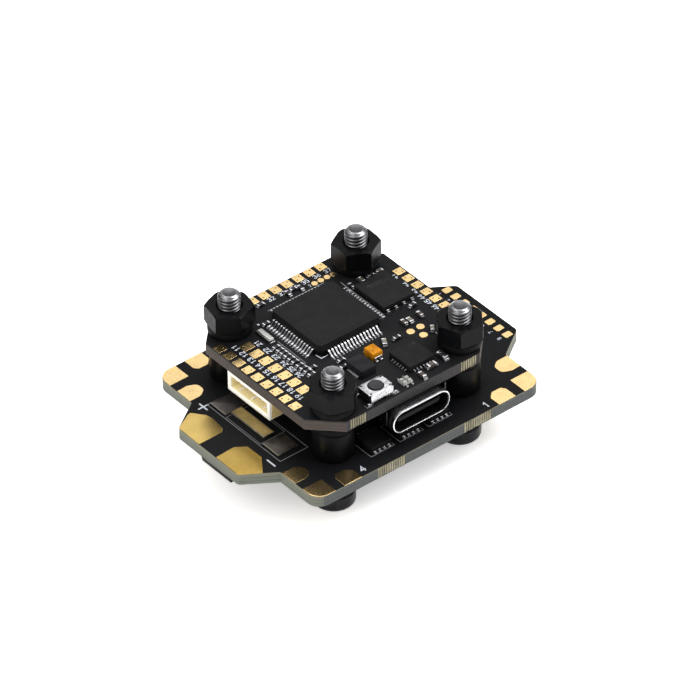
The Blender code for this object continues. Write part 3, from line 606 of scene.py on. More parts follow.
def ribbon(points, width):
    """A stroke's outline with rounded ends."""
    half = width / 2
    left, right = [], []
    last = len(points) - 1
    for k, (x, y) in enumerate(points):
        (ax, ay), (bx, by) = points[max(k - 1, 0)], points[min(k + 1, last)]
        if 0 < k < last:
            ux, uy, vx, vy = x - ax, y - ay, bx - x, by - y
            lu, lv = math.hypot(ux, uy), math.hypot(vx, vy)
            dx, dy = ux / lu + vx / lv, uy / lu + vy / lv
            reach = half / max(0.5, math.sqrt((1 + (ux * vx + uy * vy) / (lu * lv)) / 2))
        else:
            dx, dy, reach = bx - ax, by - ay, half
        length = math.hypot(dx, dy) or 1.0
        dx, dy = dx / length * reach, dy / length * reach
        left.append((x - dy, y + dx))
        right.append((x + dy, y - dx))

    def end(at, towards):
        (ex, ey), (tx, ty) = points[at], points[towards]
        angle = math.atan2(ey - ty, ex - tx) / QUARTER
        return arc(ex, ey, half, angle - 0.5, angle + 0.5, 2)
    return right + end(last, last - 1) + left[::-1] + end(0, 1)


def flat(solid, loop, z, height, edge=0.008, holes=()):
    """A thin feature with a softened outer edge, standing on a board, or hanging under it if height is negative."""
    if area_of(loop) < 0:
        loop = loop[::-1]
    levels = [(z, 0.0), (z + height - edge, 0.0), (z + height, edge)]
    if height < 0:
        levels = [(z + height, edge), (z + height + edge, 0.0), (z, 0.0)]
    solid.slab(loop, levels, holes)


# Each sign's strokes, in hundredths of its height.
STROKES = {
    "0": "0,15 15,0 45,0 60,15 60,85 45,100 15,100 0,85 0,20",
    "1": "10,78 34,100 34,0",
    "2": "0,85 15,100 45,100 60,85 60,62 0,0 62,0",
    "3": "0,88 15,100 45,100 60,86 60,64 42,52 25,52/42,52 60,40 60,14 45,0 15,0 0,12",
    "4": "48,0 48,100 0,30 64,30",
    "5": "58,100 5,100 0,56 42,58 60,42 60,15 45,0 15,0 0,12",
    "6": "50,100 12,62 0,40 0,15 15,0 45,0 60,15 60,40 45,55 10,52",
    "7": "0,100 60,100 20,0",
    "8": "30,53 5,68 5,88 18,100 42,100 55,88 55,68 30,53 60,36 60,12 45,0 15,0 0,12 0,36 26,51",
    "9": "10,0 48,38 60,60 60,85 45,100 15,100 0,85 0,60 15,45 50,48",
    "+": "0,50 70,50/35,15 35,85",
    "-": "0,50 70,50",
}
STROKES = {sign: [[tuple(int(value) / 100 for value in pair.split(",")) for pair in stroke.split()]
                  for stroke in strokes.split("/")] for sign, strokes in STROKES.items()}


def write(solid, text, x, y, z, size, turn=0.0, weight=0.13, under=False):
    """Numbers and signs drawn as raised ink, centred on a point, and mirrored if under a board."""
    side = -1 if under else 1
    advance = 0.92 * size
    start = -(advance * (len(text) - 1) + 0.6 * size) / 2
    for index, sign in enumerate(text):
        for number, stroke in enumerate(STROKES[sign]):
            line = [(side * (start + index * advance + px * size), (py - 0.5) * size) for px, py in stroke]
            flat(solid, ribbon(turned(line, turn, x, y), weight * size * 1.35), z,
                 side * INK_HEIGHT * (1 + 0.12 * number), 0.004)


def frame_line(solid, x0, y0, x1, y1, width, z, height=INK_HEIGHT):
    """A rectangle drawn as one raised line."""
    loop = [(x1, y0), (x1, y1), (x0, y1), (x0, y0)]
    solid.slab(loop, [(min(z, z + height), 0.0), (max(z, z + height), 0.0)], [inset(loop, width)])


def pads(solid, spots, width, depth, radius, holes, z=FC_HIGH, height=PAD):
    """Gold pads at (x, y) spots, each with plated holes at the given offsets."""
    for x, y in spots:
        flat(solid, rectangle(width, depth, radius, x, y), z, height, 0.014,
             [circle(0.1, 12, x + dx, y + dy) for dx, dy in holes])


# Solids that gather one kind of thing each. The upper board's pads, ink, vias and traces are drawn round the middle
# of the screw square, and shifted there when they are made into pieces.
fc_pads, esc_pads, battery_gold, under_pads = Solid(), Solid(), Solid(), Solid()
fc_ink, fc_fine_ink, esc_ink, esc_outlines = Solid(), Solid(), Solid(), Solid()
fc_vias, esc_vias, fc_traces, esc_traces = Solid(), Solid(), Solid(), Solid()
fc_leads, fc_tin, fc_solder, esc_tin, esc_solder = Solid(), Solid(), Solid(), Solid(), Solid()
under_tin, under_solder = Solid(), Solid()
ends, end_solder = Solid(), Solid()

# Flight controller pads: a double row along -X, single rows along +X and +Y.
OUTER_Y = [7.65 - 1.82 * k for k in range(9)]
INNER_Y = OUTER_Y[1:8]
RIGHT_Y = [5.55, 3.78, 2.02, 0.25, -1.52, -3.28, -5.05]
BACK_X = [-4.48 + 1.8 * k for k in range(7)]
RIGHT_SPOTS, BACK_SPOTS = [(13.24, y) for y in RIGHT_Y], [(x, 12.45) for x in BACK_X]
pads(fc_pads, [(-13.36, y) for y in OUTER_Y], 1.36, 1.26, 0.06, ((-0.36, 0.3), (0.24, -0.28)))
for y in INNER_Y:
    loop = chamfered(1.58, 1.26, ((1, -1),) if y == INNER_Y[-1] else (), 0.5, -10.6, y)
    flat(fc_pads, loop, FC_HIGH, PAD, 0.014, [circle(0.1, 12, -10.98, y + 0.3), circle(0.1, 12, -10.2, y - 0.22)])
pads(fc_pads, RIGHT_SPOTS, 1.3, 1.16, 0.06, ((0.31, -0.28), (-0.24, 0.25)))
pads(fc_pads, BACK_SPOTS, 1.26, 1.3, 0.06, ((-0.3, -0.25), (0.28, 0.27)))
pads(under_pads, BACK_SPOTS, 1.26, 1.3, 0.06, ((0.0, -0.15),), FC_LOW, -PAD)
pads(under_pads, RIGHT_SPOTS, 1.42, 1.26, 0.06, ((0.16, 0.0),), FC_LOW, -PAD)
for x, y, radius in ((6.65, -4.65, 0.53), (8.2, -4.65, 0.53), (7.45, -6.15, 0.53), (3.65, 10.35, 0.42),
                     (4.65, 10.35, 0.42), (5.65, 10.35, 0.42), (6.6, 10.3, 0.42)):
    flat(fc_pads, circle(radius, 28, x, y), FC_HIGH, PAD, 0.016)

# Generic numbers and ticks beside the pads, where the real board has its names.
for first, size, weight, turn, spots in (
        (11, 0.66, 0.13, QUARTER, [(-11.87, y) for y in (6.50, 4.92, 3.34, 1.80, 0.27, -1.30, -2.80, -4.32, -5.88)]),
        (21, 0.62, 0.13, QUARTER, [(-9.2, y) for y in (5.49, 3.63, 2.0, 0.37, -1.1, -2.48)]),
        (31, 0.6, 0.12, 0.0, [(x, 11.33) for x in (-4.1, -2.45, -0.73, 1.2, 2.95, 4.75, 6.5)]),
        (41, 0.6, 0.12, QUARTER, [(12.08, y) for y in (5.05, 2.95, 1.22, -0.2, -1.5, -2.88)]),
        (1, 0.42, 0.1, 0.0, [(8.9, -6.9), (2.9, 10.35)])):
    for index, (x, y) in enumerate(spots):
        write(fc_ink, str(first + index), x, y, FC_HIGH, size, turn, weight)

# Processor corner mark, pin-one dots and part outlines.
flat(fc_ink, ribbon([(-5.2, -0.86), (-5.08, -1.74), (-4.12, -1.74)], 0.13), FC_HIGH, INK_HEIGHT, 0.004)
for x, y, radius in ((-6.85, 8.35, 0.16), (6.1, 6.5, 0.16), (0.75, -11.1, 0.12), (-1.1, -4.2, 0.12)):
    flat(fc_ink, circle(radius, 16, x, y), FC_HIGH, INK_HEIGHT, 0.004)
for x, y, w, d in ((0.2, 9.72, 8.9, 0.07), (6.25, 4.3, 0.07, 8.4), (-7.1, 1.5, 0.06, 5.5), (2.1, -13.0, 0.7, 0.08),
                   (11.9, -4.2, 0.08, 0.6)):
    flat(fc_fine_ink, rectangle(w, d, 0.03, x, y), FC_HIGH, INK_HEIGHT, 0.004)


# ---------------------------------------------------------------- chip parts

def package(width, depth, height, draft=0.08, edge=0.07, corner=0.12, parting=0.45, dimples=(), cuts=None):
    """A moulded package: draft above and below its parting line, broken edges and round sunk marks in the top."""
    outline = chamfered(width, depth, cuts, corner * 3.0) if cuts else rectangle(width, depth, corner, steps=3)
    middle = height * parting
    return Solid().slab(outline, [
        (0.0, draft * 0.9 + 0.02), (0.03, draft * 0.9), (middle - 0.015, 0.012), (middle - 0.015, 0.0),
        (middle + 0.015, 0.0), (middle + 0.015, 0.012), (height - edge, draft),
        (height - edge * 0.35, draft + edge * 0.3), (height, draft + edge)],
        (), dimples)


def chip(node, name, material, slot, width, depth, *shape, under=False, turn=0.0, **more):
    """A package in its CAD node's place, upside down if under a board."""
    x, y, low, high = middle_of(node)
    made = package(width, depth, high - low, *shape, **more)
    piece(name, Solid().place(made, x, y, high if under else low, turn, under), material, slot, replaces=(node,))
    return x, y


def gull(rise, reach, foot, width, thickness, root):
    """A gull-wing lead: out of the body, down, and along the board. It leaves the body at x = 0."""
    bend, half, steep = 0.16, thickness / 2, 0.64 * QUARTER
    fall = max(0.0, rise - half - 2 * bend * (1 - math.cos(steep)))
    x0 = max(0.0, reach - foot - 2 * bend * math.sin(steep) - fall / math.tan(steep))
    path = [(-root, rise)]
    bends = [steep * k / 4 for k in range(5)]
    for point in ([(x0 + bend * math.sin(a), rise - bend * (1 - math.cos(a))) for a in bends]
                  + [(reach - foot + bend - bend * math.sin(a), half + bend * (1 - math.cos(a))) for a in bends[::-1]]
                  + [(reach, half)]):
        if math.dist(point, path[-1]) > 0.012:
            path.append(point)
    return Solid().bar(path, width, thickness, 0.025)


def mound(loop, height, spread=0.6, steps=5):
    """A solder fillet: a smooth low dome over an outline."""
    angles = [QUARTER * k / steps for k in range(steps + 1)]
    return Solid().slab(loop, [(height * math.sin(a), spread * (1 - math.cos(a))) for a in angles])


def blob(solid, x, y, z, width, depth, radius, height, spread, across=0.0, along=0.0, steps=3, rounds=5):
    """A mound of solder over a small rectangle, drawn about a part's middle."""
    solid.place(mound(rectangle(width, depth, radius, across, along, steps), height, spread, rounds), x, y, z)


def flat_leads(tin, solder, x, y, z, half, count, pitch, width, sides, out, rise, depth, pad_reach=0.38):
    """Short terminals of a leadless chip along its sides, with their solder. Side 0 faces +X, 1 +Y, 2 -X and 3 -Y."""
    terminal = Solid().slab(rectangle(depth + out, width, 0.03, (out - depth) / 2, 0.0, 2),
                            [(0.0, 0.0), (rise - 0.03, 0.0), (rise, 0.03)])
    pad = Solid().slab(rectangle(pad_reach, width * 1.18, 0.05, out + pad_reach / 2 - 0.08, 0.0, 3),
                       [(0.0, 0.0), (0.03, 0.0), (0.035, 0.01)])
    fillet = mound(rectangle(pad_reach * 0.85, width * 1.08, 0.05, out + pad_reach * 0.36, 0.0, 3), rise * 0.72,
                   min(width * 0.45, pad_reach * 0.36))
    for side in sides:
        for k in range(count):
            px, py = spot(x, y, half, (k - (count - 1) / 2) * pitch, side * QUARTER)
            for target, part, lift in ((tin, terminal, 0.03), (solder, pad, 0.0), (solder, fillet, 0.03)):
                target.place(part, px, py, z + lift, side * QUARTER)


# The processor: sixteen leads a side at half-millimetre pitch.
PX, PY = chip("processor", "processor_package", CHIP, "chip_epoxy", 9.94, 9.94, 0.16, 0.07, 0.18, 0.5, cuts=ALL_CUT,
              dimples=[
    (circle(0.42, 24, -3.9, -3.9), 0.05, 0.08), (circle(0.75, 32, 3.2, 3.2), 0.018, 0.02),
    (circle(0.75, 32, -3.2, 3.2), 0.018, 0.02)])
lead, pad = gull(0.62, 1.2, 0.5, 0.24, 0.14, 0.3), rectangle(0.9, 0.25, 0.1, steps=3)
fillet = mound(rectangle(0.16, 0.25, 0.07, steps=3), 0.06, 0.06)
BODY_HALF = 4.97
for side in range(4):
    angle = side * QUARTER
    for k in range(16):
        across = -3.75 + 0.5 * k
        fc_leads.place(lead, *spot(PX, PY, BODY_HALF, across, angle), FC_HIGH + PAD, angle)
        flat(fc_solder, turned(pad, angle, *spot(PX, PY, BODY_HALF + 0.95, across, angle)), FC_HIGH, PAD, 0.01)
        fc_solder.place(fillet, *spot(PX, PY, BODY_HALF + 1.28, across, angle), FC_HIGH + PAD * 0.9, angle)

# Flash memory, an eight-terminal leadless chip, and the motion sensor, with terminals on all four sides.
FX, FY = chip("flash_memory", "flash_package", CHIP, "chip_epoxy", 4.96, 5.94, 0.03, 0.05, 0.08, 0.3,
              [(circle(0.3, 20, -1.75, -2.2), 0.03, 0.05)])
flat_leads(fc_tin, fc_solder, FX, FY, FC_HIGH, 2.97, 4, 1.27, 0.45, (1, 3), 0.06, 0.26, 0.4)
GX, GY = chip("motion_sensor", "motion_sensor_package", CHIP, "chip_epoxy", 3.96, 3.96, 0.015, 0.04, 0.05, 0.35,
              [(circle(0.2, 16, -1.5, -1.5), 0.03, 0.04)])
flat_leads(fc_tin, fc_solder, GX, GY, FC_HIGH, 1.98, 6, 0.5, 0.24, range(4), 0.03, 0.2, 0.3, 0.3)

# Laser marks: generic rules and a pin-one ring.
marks = Solid()
z = middle_of("flash_memory")[3]
for x, y, w, d in ((FX - 0.3, FY + 1.6, 2.4, 0.09), (FX + 0.2, FY + 1.2, 3.0, 0.05)):
    marks.slab(rectangle(w, d, 0.02, x, y, 2), [(z, 0.0), (z + 0.004, 0.004)])
z = middle_of("motion_sensor")[3]
marks.slab(circle(0.17, 18, GX + 1.45, GY + 1.4), [(z, 0.0), (z + 0.004, 0.004)],
           [circle(0.1, 18, GX + 1.45, GY + 1.4)])
piece("chip_marks", marks, MARK, "chip_epoxy")

# Power inductor: a pressed ferrite block with wrapped end plates.
x, y, low, high = middle_of("power_inductor")
waist = low + (high - low) * 0.5
piece("power_inductor_core", Solid().slab(chamfered(2.42, 3.12, ALL_CUT, 0.16, x, y), [
    (low, 0.06), (low + 0.06, 0.0), (waist, 0.0), (waist + 0.03, 0.035), (low + (high - low) * 0.56, 0.0),
    (high - 0.1, 0.0), (high - 0.03, 0.04), (high, 0.11)]), FERRITE, "ferrite", replaces=("power_inductor",))
for side in BOTH:
    wrap = Solid().slab(rectangle(0.05, 2.1, 0.02, side * 1.225, 0.0, 2), [(0.0, 0.0), (0.3, 0.0), (0.32, 0.01)])
    fc_tin.place(wrap, x, y, FC_HIGH + 0.02)
    blob(fc_solder, x, y, FC_HIGH, 0.24, 2.2, 0.08, 0.22, 0.1, side * 1.34)

# Tantalum capacitor: an amber block and bent end plates.
x, y = chip("tantalum_capacitor", "tantalum_body", AMBER, "tantalum_resin", 1.56, 1.92, 0.05, 0.09, 0.1, 0.48)
low, high = middle_of("tantalum_capacitor")[2:]
h = high - low
plate = Solid().bar([(-0.1, 0.045), (0.09, 0.05), (0.13, 0.12), (0.13, h * 0.38), (0.1, h * 0.46), (0.0, h * 0.48)],
                    1.15, 0.07, 0.02)
for side in BOTH:
    fc_tin.place(plate, x, y + side * 0.93, FC_HIGH + 0.02, side * QUARTER)
    for across in (-0.36, 0.36):
        blob(fc_solder, x, y, FC_HIGH + 0.01, 0.52, 0.34, 0.1, 0.24, 0.15, across, side * 1.2)

# Clock crystal: a drawn metal lid on a ceramic tray.
x, y, low, high = middle_of("clock_crystal")
piece("crystal_tray", Solid().slab(rectangle(0.93, 2.68, 0.1, x, y), [(low, 0.03), (low + 0.03, 0.0), (low + 0.26, 0.0),
                                                                      (low + 0.28, 0.02)]),
      DARK_CERAMIC, "ceramic_chip", replaces=("clock_crystal",))
piece("crystal_lid", Solid().slab(rectangle(0.85, 2.58, 0.16, x, y, 5), [
    (low + 0.28, 0.0), (low + 0.31, 0.0), (low + 0.33, 0.05), (high - 0.04, 0.07), (high - 0.01, 0.1), (high, 0.15)]),
    CRYSTAL_LID, "plated_lid")
for side in BOTH:
    blob(fc_solder, x, y, FC_HIGH, 0.9, 0.34, 0.08, 0.2, 0.14, 0.0, side * 1.42)

# Status light: a clear lens with four rounded lobes over its four terminals.
x, y, low, high = middle_of("status_led")
piece("status_led_base", Solid().slab(rectangle(1.5, 1.22, 0.08, x, y, 3),
                                      [(low, 0.0), (low + 0.18, 0.0), (low + 0.2, 0.02)]),
      LED_LENS, "led_resin", replaces=("status_led",))
lens = Solid()
for sx in BOTH:
    for sy in BOTH:
        blob(lens, x, y, low + 0.2, 0.66, 0.52, 0.18, high - low - 0.2, 0.16, sx * 0.38, sy * 0.31, 5, 6)
piece("status_led_lens", lens, LED_LENS, "led_resin")
for across in (-0.4, 0.42):
    for side, reach in ((-1, 0.42), (1, 0.5)):
        blob(fc_solder, x, y, FC_HIGH, 0.36, reach, 0.1, 0.22, 0.15, across, side * (0.62 + reach / 2))
        blob(fc_tin, x, y, FC_HIGH, 0.3, 0.24, 0.06, 0.3, 0.06, across, side * 0.58)


# ---------------------------------------------------------------- small two-ended parts

BODIES = {"tan": Solid(), "dark": Solid(), "pale": Solid()}
R0402, C0402, R0603, C0805 = (1.0, 0.5, 0.35), (1.0, 0.5, 0.5), (1.6, 0.8, 0.5), (2.0, 1.25, 0.95)
LETTERS = {"r": ("dark", R0402), "c": ("tan", C0402), "R": ("dark", R0603), "C": ("tan", R0603), "B": ("tan", C0805),
           "k": ("dark", C0402)}


def passive(kind, x, y, z, turn_degrees=0.0, size=C0402, under=False):
    """A chip resistor or capacitor: a body, two plated ends and a fillet at each end."""
    length, width, height = size
    turn, end, lift = math.radians(turn_degrees), length * 0.24, -1 if under else 1
    body = Solid().slab(rectangle(length - end * 1.5, width * 0.94, width * 0.06, steps=2),
                        [(0.0, 0.02), (0.02, 0.0), (height * 0.92, 0.0), (height * 0.96, width * 0.07)])
    BODIES[kind].place(body, x, y, z + lift * 0.05, turn, under)
    e = min(0.04, width * 0.09)
    cap = Solid().slab(rectangle(end, width, width * 0.12, steps=3),
                       [(0.0, 0.01), (0.02, 0.0), (height - e, 0.0), (height - e * 0.3, e * 0.4), (height, e)])
    fillet = mound(rectangle(end * 1.5, width * 1.12, width * 0.16, steps=3), height * 0.75,
                   min(end * 0.7, width * 0.42))
    for side in BOTH:
        ends.place(cap, *spot(x, y, side * (length - end) / 2, 0.0, turn), z + lift * 0.045, turn, under)
        end_solder.place(fillet, *spot(x, y, side * (length / 2 + end * 0.2), 0.0, turn), z, turn, under)


def grid(letters, xs, ys, z, turn, under=False, x0=0.0, y0=0.0):
    """Small parts at each y and then each x, each named by its letter; one letter serves them all."""
    spots = [(x0 + x, y0 + y) for y in ys for x in xs]
    for (x, y), letter in zip(spots, letters * (len(spots) if len(letters) == 1 else 1)):
        kind, size = LETTERS[letter]
        passive(kind, x, y, z, turn, size, under)
    return spots


def fc_grid(letters, xs, ys, z=FC_HIGH, turn=0):
    grid(letters, xs, ys, z, turn, z < FC_HIGH, SQUARE_X, SQUARE_Y)


fc_grid("r", (-8.1,), (3.30, 2.55, 1.85, 1.13, 0.39, -0.37, -1.25, -2.0, -2.77, -3.55))
for letters, turn, *places in (
        ("r", 0, (-6.15, 7.72), (-3.6, -3.74), (-4.2, -4.95), (-7.2, -2.61), (9.9, 7.05), (0.75, 10.94), (-4.3, 11.08)),
        ("r", 90, (6.75, 6.9), (-0.28, 10.66), (1.6, 10.55)), ("k", 12, (9.95, -1.0)), ("k", 0, (4.32, -4.78)),
        ("c", 90, (9.49, -2.98), (6.97, -3.0), (8.3, 6.9)), ("c", 0, (11.1, 6.9))):
    for x, y in places:
        fc_grid(letters, (x,), (y,), turn=turn)
for kind, x, y, turn, size in (
        ("pale", 7.82, -3.05, 90, (1.0, 0.62, 0.4)), ("pale", 2.63, -4.45, 60, (1.2, 0.6, 0.45)),
        ("pale", 8.85, -6.15, 55, C0402), ("dark", 6.4, -11.0, 90, (1.45, 0.75, 0.55)),
        ("tan", 4.15, -11.62, 0, (1.3, 0.65, 0.6)), ("tan", 2.1, -12.33, 90, (1.1, 0.55, 0.5))):
    passive(kind, SQUARE_X + x, SQUARE_Y + y, FC_HIGH, turn, size)


# ---------------------------------------------------------------- start button

BX, BY, KEY_LOW, KEY_HIGH = middle_of("boot_button_plunger")
z0, z1 = middle_of("boot_button_base")[2:]
piece("boot_button_housing", Solid().slab(rectangle(3.72, 2.22, 0.25, BX, BY), [
    (z0, 0.06), (z0 + 0.06, 0.0), (z0 + 0.42, 0.0), (z0 + 0.45, 0.05), (z1 - 0.04, 0.05), (z1, 0.09)],
    (), [(circle(1.07, 36, BX, BY), 0.62, 0.0)]), INSULATOR, "insulator", replaces=("boot_button_base",))
z0, z1 = middle_of("boot_button_cover")[2:]
SHEET = 0.15
hem, fold = z0 + 0.02, z1 - SHEET
cover = Solid().slab(chamfered(3.72, 2.6, ALL_CUT, 0.42, BX, BY), [
    (fold + 0.004, 0.0), (fold + 0.03, 0.0), (z1 - 0.06, 0.0), (z1 - 0.02, 0.025), (z1, 0.07)],
    [circle(1.0, 40, BX, BY)])
skirt = Solid().slab([(BX + x, z) for x, z in (
    (-1.55, hem), (-0.55, hem), (-0.5, hem + 0.22), (0.5, hem + 0.22), (0.55, hem), (1.55, hem), (1.72, hem + 0.3),
    (1.72, fold), (-1.72, fold), (-1.72, hem + 0.3))],
    [(-SHEET / 2, 0.02), (0.02 - SHEET / 2, 0.0), (SHEET / 2 - 0.02, 0.0), (SHEET / 2, 0.02)])
for side in BOTH:
    cover.add(skirt, lambda px, py, pz: (px, BY + side * (1.3 - SHEET / 2) - pz, py))
for number, (sx, sy) in enumerate(((-1, -1), (-1, 1), (1, -1), (1, 1)), 2):
    rivet = Solid().slab(circle(0.16, 16, BX + sx * 1.5, BY + sy * 0.95),
                         [(z1 - 0.02, 0.0), (z1, 0.0), (z1 + 0.02, 0.05)])
    piece("boot_button_rivet_%d" % number, rivet, PLUNGER, "insulator")
piece("boot_button_lid", cover, LID, "plated_lid", replaces=("boot_button_cover",))
z0, z1 = KEY_LOW, KEY_HIGH
piece("boot_button_key", Solid().lathe([
    (0.0, z0), (1.0, z0), (1.02, z0 + 0.02), (1.02, z0 + 0.18), (1.0, z0 + 0.2), (0.93, z0 + 0.2), (0.93, z1 - 0.1),
    (0.915, z1 - 0.045), (0.87, z1 - 0.01), (0.8, z1), (0.45, z1 - 0.012), (0.0, z1 - 0.02)], 48, BX, BY),
    PLUNGER, "button_resin", "boot_button", ("boot_button_plunger",))
z = FC_HIGH + PAD
for x in (-2.2, 2.2):
    for y in (BY - 1.15, BY + 1.15):
        flat(fc_solder, rectangle(0.85, 0.62, 0.06, BX + x * 0.96, y), FC_HIGH, PAD, 0.012)
        blob(fc_solder, BX + x * 0.93, y, z, 0.52, 0.5, 0.14, 0.3, 0.22, steps=4)
        fc_tin.slab(rectangle(0.7, 0.34, 0.04, BX + x * 0.83, y, 2), [(z + 0.01, 0.01), (z + 0.14, 0.0),
                                                                      (z + 0.16, 0.02)])
piece("fc_leads", fc_leads, TIN, "solder")
piece("fc_terminals", fc_tin, TIN, "solder")


# ---------------------------------------------------------------- USB socket under the front edge

(x0, MOUTH, z0), (x1, REAR, z1) = node_box("usb_shell")
UX, UZ, UW, UH, DEPTH = (x0 + x1) / 2, (z0 + z1) / 2, x1 - x0, z1 - z0, REAR - MOUTH
USB_WALL = 0.26
OUTER = rectangle(UW, UH, UH / 2 - 0.12, UX, UZ, 10)
INNER = rectangle(UW - 2 * USB_WALL, UH - 2 * USB_WALL, UH / 2 - 0.12 - USB_WALL, UX, UZ, 10)


def stand(solid, drawn, front):
    """A solid drawn in the x-z plane, whose own z runs back along y from the front."""
    return solid.add(drawn, lambda px, py, pz: (px, front + pz, py), flip=True)


def tube(outer, inner, levels):
    """A wall between two outlines of one count, closed at both ends. Levels are (z, outward growth, inward growth)."""
    made = Solid()
    without = [made.loop(inset(outer, -grow), z) for z, grow, _ in levels]
    within = [made.loop(inset(inner, grow), z) for z, _, grow in levels]
    made.walls(without)
    made.walls(within, outward=False)
    made.wall(without[0], within[0], outward=False)
    made.wall(without[-1], within[-1])
    return made


shell = stand(Solid(), tube(OUTER, INNER, [
    (0.34, 0.0, 0.0), (0.6, 0.0, 0.0), (0.62, -0.02, 0.0), (0.66, -0.02, 0.0), (0.68, 0.0, 0.0),
    (DEPTH - 0.1, 0.0, 0.0), (DEPTH, -0.06, 0.0)]), MOUTH)
stand(shell, Solid().slab(inset(INNER, 0.01), [(DEPTH - 0.3, 0.0), (DEPTH - 0.05, 0.0), (DEPTH - 0.02, 0.03)]), MOUTH)
spring = Solid().slab(rectangle(1.1, 1.7, 0.12, steps=3), [(0.0, 0.0), (0.012, 0.0), (0.02, 0.02)])
for side in BOTH:
    for x in (-2.1, 2.1):
        shell.place(spring, UX + x, MOUTH + 2.6, UZ + side * (UH / 2 - 0.003), 0.0, side < 0)
    for y in (MOUTH + 1.6, MOUTH + 5.6):
        shell.slab(rectangle(0.2, 1.1, 0.05, UX + side * (UW / 2 + 0.12), y, 2),
                   [(UZ - 0.5, 0.04), (UZ - 0.42, 0.0), (FC_LOW - 0.02, 0.0)])
        shell.slab(rectangle(0.3, 0.9, 0.05, UX + side * (UW / 2 + 0.02), y, 2),
                   [(UZ - 0.1, 0.03), (UZ + 0.1, 0.0), (UZ + 0.3, 0.0), (UZ + 0.5, 0.03)])
piece("usb_housing", shell, DARK_SHELL, "dark_shell", replaces=("usb_shell",))
band = inset(OUTER, 0.17)
lip = tube(inset(band, 0.002), INNER, [(0.03, 0.0, -0.05), (0.08, 0.0, 0.0), (0.36, 0.0, 0.0)])
rim = tube(OUTER, band, [(0.0, -0.07, -0.02), (0.02, -0.03, -0.01), (0.06, 0.0, 0.0), (0.33, 0.0, 0.0),
                         (0.335, -0.03, 0.0)])
piece("usb_lip", stand(Solid(), lip, MOUTH), DARK_SHELL, "dark_shell")
piece("usb_rim", stand(Solid(), rim, MOUTH), BRIGHT_RIM, "plated_lid")

(_, front, z0), (_, rear, z1) = node_box("usb_tongue")
depth, z = rear - front, (z0 + z1) / 2
tongue = stand(Solid(), Solid().slab(rectangle(6.66, 0.7, 0.3, UX, z, 6), [
    (0.0, 0.1), (0.06, 0.0), (4.6, 0.0), (4.7, -0.12), (5.4, -0.12), (5.5, 0.0), (depth - 0.02, 0.0)]), front)
stand(tongue, Solid().slab(inset(INNER, 0.05), [(depth - 2.15, 0.12), (depth - 2.05, 0.0), (depth - 0.4, 0.0)]), front)
piece("usb_insert", tongue, INSULATOR, "insulator", replaces=("usb_tongue",))
contacts, tails = Solid(), Solid()
strip = Solid().slab(rectangle(0.25, 3.4, 0.06, steps=2), [(0.0, 0.0), (0.02, 0.0), (0.03, 0.01)])
for x in (UX + (k - 5.5) * 0.5 for k in range(12)):
    for side in BOTH:
        contacts.place(strip, x, front + 2.2, z + side * 0.35, 0.0, side < 0)
    tails.slab(rectangle(0.24, 0.9, 0.04, x, REAR + 0.3, 2), [(FC_LOW - 0.17, 0.02), (FC_LOW - 0.14, 0.0),
                                                              (FC_LOW - 0.02, 0.0)])
latch = Solid().slab(rounded([
    (0.12, -1.6, 0.03), (0.12, 1.6, 0.03), (-0.12, 1.6, 0.03), (-0.12, 0.6, 0.02), (-0.02, 0.3, 0.02),
    (-0.02, -0.3, 0.02), (-0.12, -0.6, 0.02), (-0.12, -1.6, 0.03)], 2), [(-0.16, 0.0), (0.16, 0.0)])
for side in BOTH:
    contacts.place(latch, UX + side * 3.33, front + 1.9, z, 0.0 if side > 0 else math.pi)
piece("usb_contacts", contacts, GOLD, "gold_pad")
piece("usb_tails", tails, TIN, "solder")


# ---------------------------------------------------------------- cable socket under the rear edge

(SX0, SY0, SZ0), (SX1, SY1, SZ1) = node_box("cable_socket")
SYM, SZM, HALF = (SY0 + SY1) / 2, (SZ0 + SZ1) / 2, (SY1 - SY0) / 2
SOCKET_DEPTH, SOCKET_WALL = 3.2, 0.6


def lie(solid, drawn):
    """A solid drawn in the y-z plane, whose own z runs in along x from the socket's mouth."""
    return solid.add(drawn, lambda px, py, pz: (SX0 + pz, px, py))


outer = rectangle(SY1 - SY0, SZ1 - SZ0, 0.14, SYM, SZM)
inner = rectangle(SY1 - SY0 - 2 * SOCKET_WALL, SZ1 - SZ0 - 2 * SOCKET_WALL, 0.1, SYM, SZM)
socket = lie(Solid(), tube(outer, inner, [(0.0, -0.06, -0.09), (0.07, 0.0, -0.02), (0.14, 0.0, 0.0),
                                          (SOCKET_DEPTH + 0.1, 0.0, 0.0)]))
lie(socket, Solid().slab(outer, [(SOCKET_DEPTH + 0.1, 0.0), (SX1 - SX0 - 0.08, 0.0), (SX1 - SX0, 0.08)]))
# painted light: a yellower copy of the cream resin lines the cavity, standing in for the light seen deep inside it
skin = inset(inner, 0.03)
lining = lie(Solid(), tube(inner, skin, [(0.2, 0.0, 0.0), (SOCKET_DEPTH + 0.08, 0.0, 0.0)]))
lie(lining, Solid().slab(skin, [(SOCKET_DEPTH + 0.04, 0.0), (SOCKET_DEPTH + 0.09, 0.0)]))
piece("cable_socket_lining", lining, CREAM_PAINTED_LIGHT, "cream_resin")
